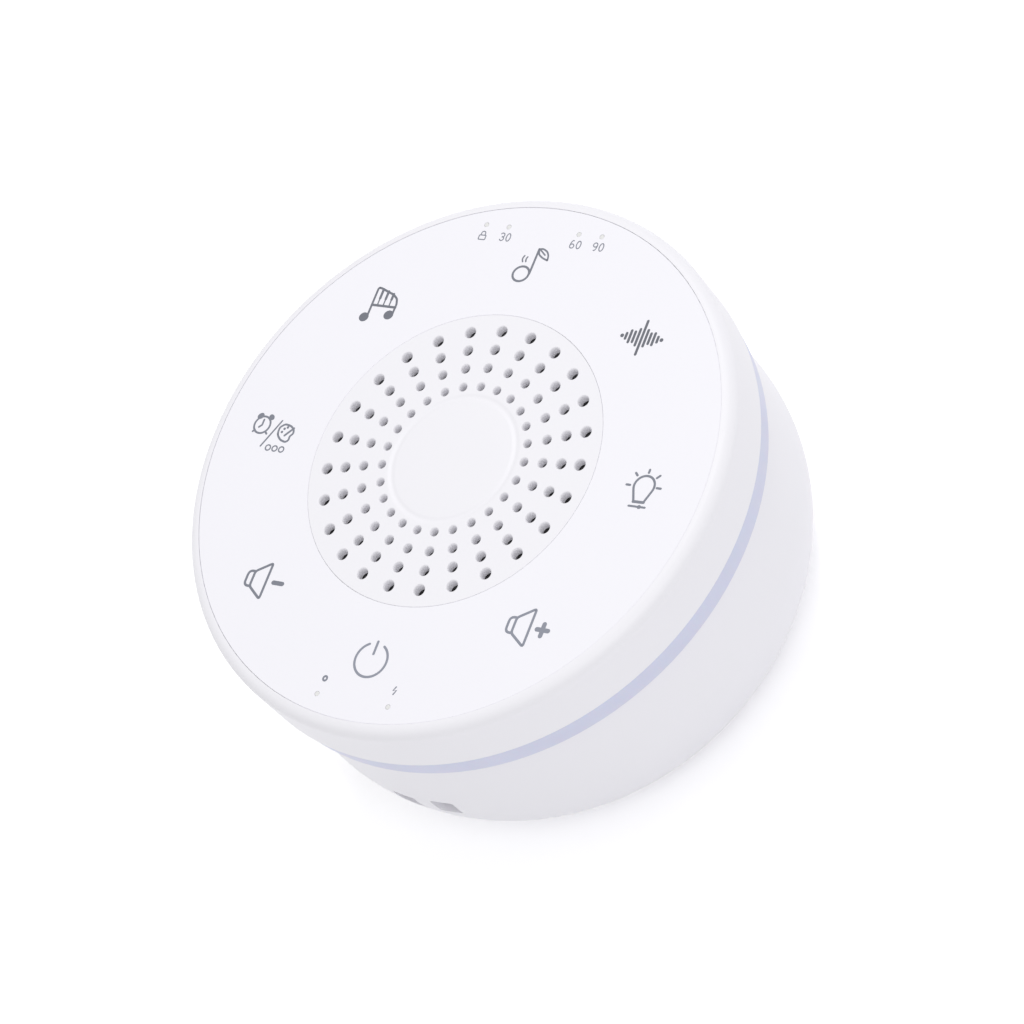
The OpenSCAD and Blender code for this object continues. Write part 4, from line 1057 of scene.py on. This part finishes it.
class SOUNDMACHINE_OT_case(Operator):
    """Finish the shells, the panel, the light band and the foot ring"""

    bl_idname = "sound_machine.case"
    bl_label = "Case"

    def execute(self, context):
        settings = context.scene.machine_case
        grain, depth = settings.grain_size, settings.grain_depth
        panel = moulded("panel_satin", settings.panel, grain * 0.7, depth * 0.3, roughness=0.38)
        shell = moulded("shell_satin", settings.shell, grain, depth)
        dress(["touch_panel"], panel)
        dress(["upper_shell", "lower_shell"], shell)
        dress(["light_ring"], frosted("band_frosted", settings.band))
        dress(["timer_light_guide", "status_light_guide"], milky("guide_milky", settings.guide))
        cream = moulded("lamp_cream", settings.lamp, grain=0.0002, depth=2e-6, roughness=0.35)
        dress(["ring_lamps", "indicator_lamps"], cream)
        dress(["foot_ring"], rubbery("foot_rubber", settings.foot))
        dress(["panel_adhesive"], rubbery("adhesive_film", settings.tape, pore=0.0012))
        return {"FINISHED"}


class SOUNDMACHINE_OT_grille(Operator):
    """Make the drilled grille with its rounded holes, and the cloth stretched behind it"""

    bl_idname = "sound_machine.grille"
    bl_label = "Grille and cloth"

    def execute(self, context):
        case, settings = context.scene.machine_case, context.scene.machine_grille
        low, high = span("speaker_grille")
        cloth_low, cloth_high = span("grille_cloth")
        skirt_gap, skirt_wall, cloth_edge, corner_points = 0.3, 0.6, 0.1, 5
        skirt = (cloth_high[0] + skirt_gap, cloth_high[0] + skirt_gap + skirt_wall)
        solid = drilled_plate(settings, cloth_high[2], high[2], high[0], skirt, low[2])
        shell = moulded("grille_satin", case.shell, case.grain_size, case.grain_depth * 0.2)
        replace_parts(piece("grille_drilled", solid, shell, "shell_white"), "speaker_grille")
        radius = cloth_high[0]
        section = box_section(0, radius, cloth_low[2], cloth_high[2], cloth_edge)
        section = section[section[:, 0] > radius / 2]
        section = np.roll(section, corner_points, axis=0)
        section = np.vstack([[(0, cloth_low[2])], section, [(0, cloth_high[2])]])
        weave = woven("grille_weave", case.cloth, 0.0003, 0.00004)
        cloth = piece("cloth_disc", revolve(section, 96, loop=False), weave, "acoustic_cloth")
        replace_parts(cloth, "grille_cloth")
        return {"FINISHED"}


class SOUNDMACHINE_OT_symbols(Operator):
    """Print the eight key symbols on the panel"""

    bl_idname = "sound_machine.symbols"
    bl_label = "Key symbols"

    def execute(self, context):
        settings = context.scene.machine_print
        ring = settings.key_ring / MM
        for name, (place, lightness, draw) in SYMBOLS.items():
            turn = math.radians(place)
            drawing = Drawing(ring * math.cos(turn), ring * math.sin(turn), settings)
            draw(drawing)
            grey = [lightness * channel for channel in settings.ink]
            ink = printed(name.replace("symbol", "ink"), grey)
            piece(name, drawing.solid(), ink, "panel_white")
        return {"FINISHED"}


class SOUNDMACHINE_OT_marks(Operator):
    """Print the numbers, the padlock and the status marks by the pin holes"""

    bl_idname = "sound_machine.marks"
    bl_label = "Indicator marks"

    def execute(self, context):
        settings = context.scene.machine_print
        lightness, number_row = 1.28, 40.8
        ink = printed("mark_ink", [lightness * channel for channel in settings.ink])
        thin = settings.digit_stroke / MM
        height = settings.digit_height / MM
        for number, x in (("30", -8.64), ("60", 5.5), ("90", 10.0)):
            drawing = Drawing(x, number_row, settings)
            for digit, left in zip(number, (0.25, 1.5)):
                draw_digit(drawing, digit, left, 0, height, thin)
            piece(f"mark_{number}", drawing.solid(), ink, "panel_white")
        padlock = Drawing(-11.9, 41.0, settings)
        body = rounded([(-0.66, -0.4), (0.66, -0.4), (0.66, 0.45), (-0.66, 0.45)], 0.15, closed=True)
        padlock.stroke(body, thin, closed=True)
        padlock.stroke(np.vstack([[(-0.4, 0.5)], arc(0, 0.8, 0.4, 180, 0), [(0.4, 0.5)]]), thin)
        piece("mark_padlock", padlock.solid(), ink, "panel_white")
        link = Drawing(-7.1, -41.5, settings)
        link.loop(0, 0, 0.36, 1.1, width=0.35)
        piece("mark_link", link.solid(), ink, "panel_white")
        bolt = Drawing(6.72, -41.4, settings)
        bolt.stroke([(0.01, 0.66), (-0.33, -0.04), (0.3, 0.1), (-0.05, -0.66)], 0.25)
        piece("mark_charge", bolt.solid(), ink, "panel_white")
        return {"FINISHED"}


class SOUNDMACHINE_OT_boards(Operator):
    """Finish the boards and what stands on them, and add their small parts"""

    bl_idname = "sound_machine.boards"
    bl_label = "Boards"

    # Resistors on the main board: their places along X, along Y, and their turn in degrees
    resistors = (
        (np.arange(-6, 7, 2.4), (-8.5, 8.5), 0),
        ([-9.5], (-3, 0, 3), 90),
        ([9.5], (-3, 0, 3), 90),
        ((-12.4, -10, -7.6), [16.3], 0),
        ((11.6, 14, 16.4), [18.6], 0),
        (np.arange(-4.8, 5, 2.4), [-19.4], 0),
        ([-17.5], range(-9, 10, 3), 90),
        ([16.5], range(-9, 10, 3), 90),
        ((-5, -2.5, 0, 2.5, 5), [35.5], 0),
        ([23], [-16], 0),
        ([26], [-18], 0),
        ([20, -24], [-20], 90),
        ([-22], [-24], 0),
        ([-33], [2], 90),
    )

    def execute(self, context):
        settings = context.scene.machine_inside
        green = solder_mask("board_green", settings.board, settings.track, settings.gold)
        gold = metal("pad_gold", settings.gold, roughness=0.25, stretch=(1, 1, 1))
        dress(["main_board", "touch_board", "lamp_board"], green)
        chip = moulded("chip_black", settings.chip, grain=0.0002, depth=4e-6, roughness=0.5)
        dress(["board_chips", "touch_chip", "usb_tongue"], chip)
        dress(["board_capacitors"], foil("capacitor_sleeve", settings.can))
        dress(["board_coils"], mineral("coil_ferrite", settings.magnet))
        nylon = moulded("header_nylon", settings.nylon, grain=0.0003, depth=4e-6)
        dress(["board_headers", "speaker_terminals"], nylon)
        dress(["lead_plugs"], moulded("plug_nylon", settings.plug, grain=0.0003, depth=4e-6))
        self.small_parts(settings, chip)
        self.contacts(gold)
        self.key_pads(key_places(context), gold)
        return {"FINISHED"}

    def small_parts(self, settings, chip):
        """Resistors beside the chips and the lamps: a body and two plated ends each."""
        size, end, bevel = (1.1, 0.8, 0.45), (0.3, 0.84, 0.5), 0.05
        stand, reach, lamp_inset = 0.25, 0.65, 3.4
        top = span("main_board")[1][2]
        lamp_board = span("lamp_board")[1]
        rows = [(x, y, turn) for xs, ys, turn in self.resistors for y in ys for x in xs]
        middles = [(x, y, top + stand) for x, y, _ in rows]
        turns = [turn for _, _, turn in rows]
        lamps = 15 + 30 * np.arange(12)
        lamp_ring = lamp_board[0] - lamp_inset
        spots = zip(lamp_ring * np.cos(np.radians(lamps)), lamp_ring * np.sin(np.radians(lamps)))
        middles = np.array(middles + [(x, y, lamp_board[2] + stand) for x, y in spots])
        turns = np.radians(np.concatenate([turns, lamps]))
        ways = np.column_stack([np.cos(turns), np.sin(turns), 0 * turns])
        bodies = turned_boxes(middles, turns, size, bevel)
        ends = joined([
            turned_boxes(middles + reach * way * ways, turns, end, bevel) for way in (-1, 1)
        ])
        piece("resistor_bodies", bodies, chip, "chip_black")
        tin = metal("solder_tin", settings.steel, roughness=0.35, stretch=(1, 1, 1))
        piece("resistor_ends", ends, tin, "screw_steel")

    def contacts(self, gold):
        """Flat contacts on both faces of the socket's tongue."""
        low, high = span("usb_tongue")
        count, pitch, contact, back, bevel = 12, 0.5, (0.26, 3.6, 0.04), 0.2, 0.01
        x = (np.arange(count) - (count - 1) / 2) * pitch
        y = (low[1] + high[1]) / 2 + back
        middles = [(place, y, level) for level in (low[2], high[2]) for place in x]
        sizes = np.full((len(middles), 3), contact)
        piece("socket_contacts", bevelled_boxes(middles, sizes, bevel), gold, "plated_steel")

    def key_pads(self, places, gold):
        """Gold rings on the touch board under the key springs."""
        inner, outer, sunk, proud, edge = 1.7, 2.7, 0.02, 0.01, 0.005
        level = span("touch_board")[1][2]
        points, faces = revolve(box_section(inner, outer, level - sunk, level + proud, edge), 40)
        pads = joined([(points + [x, y, 0], faces) for x, y in places])
        piece("key_pads", pads, gold, "plated_steel")


class SOUNDMACHINE_OT_springs(Operator):
    """Wind the eight springs that carry a touch up to the panel"""

    bl_idname = "sound_machine.springs"
    bl_label = "Key springs"

    def execute(self, context):
        settings = context.scene.machine_inside
        low, high = span("touch_springs")
        wire = settings.spring_wire / MM
        places = key_places(context)
        radius = high[0] - places[0][0] - wire
        rise = high[2] - low[2] - 2 * wire
        springs = [
            helix(x, y, low[2] + wire, rise, radius, wire, settings.spring_turns) for x, y in places
        ]
        steel = metal("spring_wire", settings.steel, roughness=0.25)
        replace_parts(piece("key_springs", joined(springs), steel, "spring_steel"), "touch_springs")
        return {"FINISHED"}


class SOUNDMACHINE_OT_leads(Operator):
    """Lay the leads between the boards, the speaker and the cell"""

    bl_idname = "sound_machine.leads"
    bl_label = "Leads"

    def execute(self, context):
        settings = context.scene.machine_inside
        radius, pitch = settings.lead / MM, settings.lead_pitch / MM
        shades = (("red", settings.red), ("grey", settings.grey), ("black", settings.chip))
        red, grey, black = (
            rubbery(f"lead_{name}", shade, pore=0.0008, depth=0.000002) for name, shade in shades
        )
        battery = [
            (22.5, 21.2), (22.5, 24.2), (24, 27.2), (27.6, 27.2), (28.6, 23.2), (28.6, 13.6),
            (28.6, 9.6), (27, 8), (23.9, 8),
        ]
        speaker = [(-26, 21.2), (-26, 24.2), (-28, 30.18), (-27.4, 36.15), (-27.4, 39.15)]
        touch = [(35, 21.2), (35, 25.2), (36.6, 30.4), (35, 35.55), (35, 39.55)]
        lamp = [(35, 21.2), (35, 25.2), (41, 29.8), (41, 33.8)]
        half = pitch / 2
        table = [
            ("battery_lead_red", battery, 0, [-half], red, "lead_red", "battery_leads"),
            ("battery_lead_black", battery, 0, [half], black, "lead_grey", "battery_leads"),
            ("speaker_lead_pair", speaker, 0, [-half, half], grey, "lead_grey", "speaker_leads"),
            ("touch_lead_row", touch, 315, pitch * np.arange(-2, 3), grey, "lead_grey", "touch_harness"),
            ("lamp_lead_row", lamp, 232, pitch * np.arange(-1.5, 2), grey, "lead_grey", "lamp_harness"),
        ]
        for name, corners, turn, offsets, material, slot, node in table:
            made = piece(name, lead(corners, radius, turn, offsets), material, slot)
            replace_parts(made, node)
        return {"FINISHED"}


class SOUNDMACHINE_OT_battery(Operator):
    """Finish the cell and its guard board, and cut its foam pad"""

    bl_idname = "sound_machine.battery"
    bl_label = "Battery"

    def execute(self, context):
        settings = context.scene.machine_inside
        dress(["battery_cell"], foil("cell_foil", settings.foil))
        dress(["battery_guard_board"], rubbery("guard_film", settings.film, pore=0.002, depth=0.000005))
        low, high = span("battery_pad")
        foam = rubbery("pad_foam", settings.foam, pore=0.0004, depth=0.00003)
        pad = piece("cell_pad", slab((low + high) / 2, high - low, 1.5, 0.12), foam, "foam_grey")
        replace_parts(pad, "battery_pad")
        return {"FINISHED"}


class SOUNDMACHINE_OT_speaker(Operator):
    """Finish the speaker, and make its rubber roll, its spider and its foam gasket"""

    bl_idname = "sound_machine.speaker"
    bl_label = "Speaker"

    sectors = 12

    def execute(self, context):
        settings = context.scene.machine_inside
        dress(["speaker_frame"], mineral("basket_coat", settings.frame, roughness=0.5, metallic=0.2))
        plated = metal("plated_steel", settings.plate, roughness=0.32, stretch=(1, 1, 1))
        dress(["speaker_top_plate", "speaker_yoke"], plated)
        dress(["speaker_magnet"], mineral("magnet_ferrite", settings.magnet))
        pulp = rubbery("cone_pulp", settings.pulp, pore=0.0007, depth=0.00003)
        dress(["speaker_cone", "dust_cap"], pulp)
        dress(["voice_coil"], winding("coil_winding", settings.copper))
        low, high = span("speaker_gasket")
        gasket_in, gasket_edge = 25.5, 0.2
        section = box_section(gasket_in, high[0], low[2], high[2], gasket_edge)
        foam = rubbery("gasket_foam", settings.foam, pore=0.0004, depth=0.00003)
        gasket = piece("gasket_ring", revolve(section), foam, "foam_grey")
        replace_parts(gasket, "speaker_gasket")
        rubber = rubbery("roll_rubber", settings.rubber, pore=0.001, depth=0.000008)
        surround = ("surround", self.roll(), rubber, "surround_rubber", "speaker_surround")
        self.ring(*surround, held=24.2, moving=21.1)
        cloth = woven("spider_weave", settings.cloth, 0.0005, 0.00005, math.radians(45))
        spider = ("spider", self.spider(), cloth, "spider_cloth", "speaker_spider")
        self.ring(*spider, held=14.9, moving=7.0)
        return {"FINISHED"}

    def roll(self):
        """Section of the surround: a half circle of rubber between two flat lips."""
        level = span("speaker_surround")[0][2]
        skin, middle, radius, inner, outer = 0.4, 22.8, 1.7, 20.1, 25.4
        a = np.radians(np.linspace(180, 0, 25))
        way = np.column_stack([np.cos(a), np.sin(a)])
        outside = [middle, level] + (radius + skin / 2) * way
        inside = [middle, level] + (radius - skin / 2) * way
        upper = outside[outside[:, 1] > level + skin]
        return np.vstack([
            [(inner, level), (inner, level + skin)], upper, [(outer, level + skin), (outer, level)],
            inside[::-1],
        ])

    def spider(self):
        """Section of the spider: a cloth of one thickness in four waves, h (1 - cos 2 pi n s) / 2."""
        level = span("speaker_spider")[0][2]
        sheet, height, waves = 0.25, 0.5, 4
        inner, outer, lip = 6.8, 14.9, 1.0
        share = np.linspace(0, 1, 65)
        r = inner + (outer - inner) * share
        z = level + height * (1 - np.cos(2 * math.pi * waves * share)) / 2
        low = np.vstack([np.column_stack([r, z]), [(outer + lip, level)]])
        return np.vstack([low, low[::-1] + [0, sheet]])

    def ring(self, name, section, material, slot, node, held, moving):
        """Sectors of a ring, each the section turned through its share of a whole turn. The held radius,
        on the basket, and the moving radius, on the cone, are not used."""
        step = 360 / self.sectors
        for number in range(self.sectors):
            solid = revolve(section, 10, number * step, step)
            made = shown(f"{name}_{number:02d}", solid, material)
            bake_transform(made)
            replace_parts(made, node)


class SOUNDMACHINE_OT_fasteners(Operator):
    """Finish the screws and the charging socket's shell"""

    bl_idname = "sound_machine.fasteners"
    bl_label = "Screws and socket"

    def execute(self, context):
        settings = context.scene.machine_inside
        screws = ["shell_screws", "touch_board_screws", "lamp_board_screws", "main_board_screws",
                  "speaker_screws"]
        dress(screws, metal("screw_steel", settings.steel))
        drawn = metal("socket_steel", settings.steel, roughness=0.28, stretch=(1, 14, 1))
        dress(["usb_socket"], drawn)
        return {"FINISHED"}


class SOUNDMACHINE_OT_stage(Operator):
    """Lay the floor and set up the lamps and the camera"""

    bl_idname = "sound_machine.stage"
    bl_label = "Stage"

    def execute(self, context):
        settings = context.scene.machine_stage
        self.floor(settings)
        self.lamps(context.scene, settings)
        self.camera(context.scene, settings)
        context.scene.view_settings.view_transform = "Standard"
        return {"FINISHED"}

    def floor(self, settings):
        """Pale disc; seen by the camera it is white, and keeps the shadow."""
        finish = Finish("floor_pale", settings.floor, 0.9, **{"Specular IOR Level": 0.1})
        paper = finish.noise(0.004, detail=3)
        pale = finish.blend(paper, finish.shade(1.0), finish.shade(0.99))
        finish.vary(Base_Color=finish.blend(finish.direct(), pale, [settings.white] * 3))
        radius, low, high = 3000, -0.6, -0.05
        disc = revolve([(0, low), (radius, low), (radius, high), (0, high)], 96, loop=False)
        shown("floor", disc, finish.material)

    def lamps(self, scene, settings):
        """Two large soft lamps and an even sky, which is white where it is seen directly."""
        self.lamp(scene, settings, "key", settings.key_power, settings.key_azimuth, settings.key_height)
        self.lamp(scene, settings, "fill", settings.fill_power, settings.fill_azimuth, settings.fill_height)
        scene.world = bpy.data.worlds.new("sky")
        graph = Graph(scene.world)
        white = (1, 1, 1, 1)
        lights = [
            graph.node("ShaderNodeBackground", {}, {"Color": white, "Strength": strength})
            for strength in (settings.sky, 1.0)
        ]
        lights = [Wire(graph, light.outputs[0]) for light in lights]
        mixed = graph.node("ShaderNodeMixShader", {}, {0: graph.direct(), 1: lights[0], 2: lights[1]})
        graph.node("ShaderNodeOutputWorld", {}, {"Surface": Wire(graph, mixed.outputs[0])})

    def lamp(self, scene, settings, name, power, azimuth, height):
        """A round area lamp that faces the origin."""
        data = bpy.data.lights.new(name, "AREA")
        data.shape = "DISK"
        data.size = settings.lamp_size
        data.energy = power
        made = bpy.data.objects.new(name, data)
        level = math.cos(height)
        way = np.array([level * math.cos(azimuth), level * math.sin(azimuth), math.sin(height)])
        made.location = way * settings.lamp_distance
        made.rotation_euler = (math.pi / 2 - height, 0, math.pi / 2 + azimuth)
        scene.collection.objects.link(made)

    def camera(self, scene, settings):
        """Long lens from the front right, above the panel."""
        data = bpy.data.cameras.new("camera")
        data.lens = settings.lens
        data.sensor_width = 36
        camera = bpy.data.objects.new("camera", data)
        camera.location = settings.camera
        camera.rotation_euler = settings.camera_turn
        scene.collection.objects.link(camera)
        scene.camera = camera


class SOUNDMACHINE_PT_sidebar(Panel):
    """Lists the operators in the order in which they are run"""

    bl_label = "Sound Machine"
    bl_idname = "SOUNDMACHINE_PT_sidebar"
    bl_space_type = "VIEW_3D"
    bl_region_type = "UI"
    bl_category = "Sound Machine"

    def draw(self, context):
        for operator in STEPS:
            self.layout.operator(operator.bl_idname)


GROUPS = {
    "machine_case": CaseSettings,
    "machine_print": PrintSettings,
    "machine_grille": GrilleSettings,
    "machine_inside": InsideSettings,
    "machine_stage": StageSettings,
}
STEPS = (
    SOUNDMACHINE_OT_case,
    SOUNDMACHINE_OT_grille,
    SOUNDMACHINE_OT_symbols,
    SOUNDMACHINE_OT_marks,
    SOUNDMACHINE_OT_springs,
    SOUNDMACHINE_OT_boards,
    SOUNDMACHINE_OT_leads,
    SOUNDMACHINE_OT_battery,
    SOUNDMACHINE_OT_speaker,
    SOUNDMACHINE_OT_fasteners,
    SOUNDMACHINE_OT_stage,
)


def register():
    for item in (*GROUPS.values(), *STEPS, SOUNDMACHINE_PT_sidebar):
        bpy.utils.register_class(item)
    for name, group in GROUPS.items():
        setattr(bpy.types.Scene, name, PointerProperty(type=group))


def unregister():
    for name in GROUPS:
        delattr(bpy.types.Scene, name)
    for item in reversed((*GROUPS.values(), *STEPS, SOUNDMACHINE_PT_sidebar)):
        bpy.utils.unregister_class(item)


def main():
    """Runs every step."""
    register()
    for operator in STEPS:
        group, name = operator.bl_idname.split(".")
        getattr(getattr(bpy.ops, group), name)()


if __name__ == "__main__":
    main()
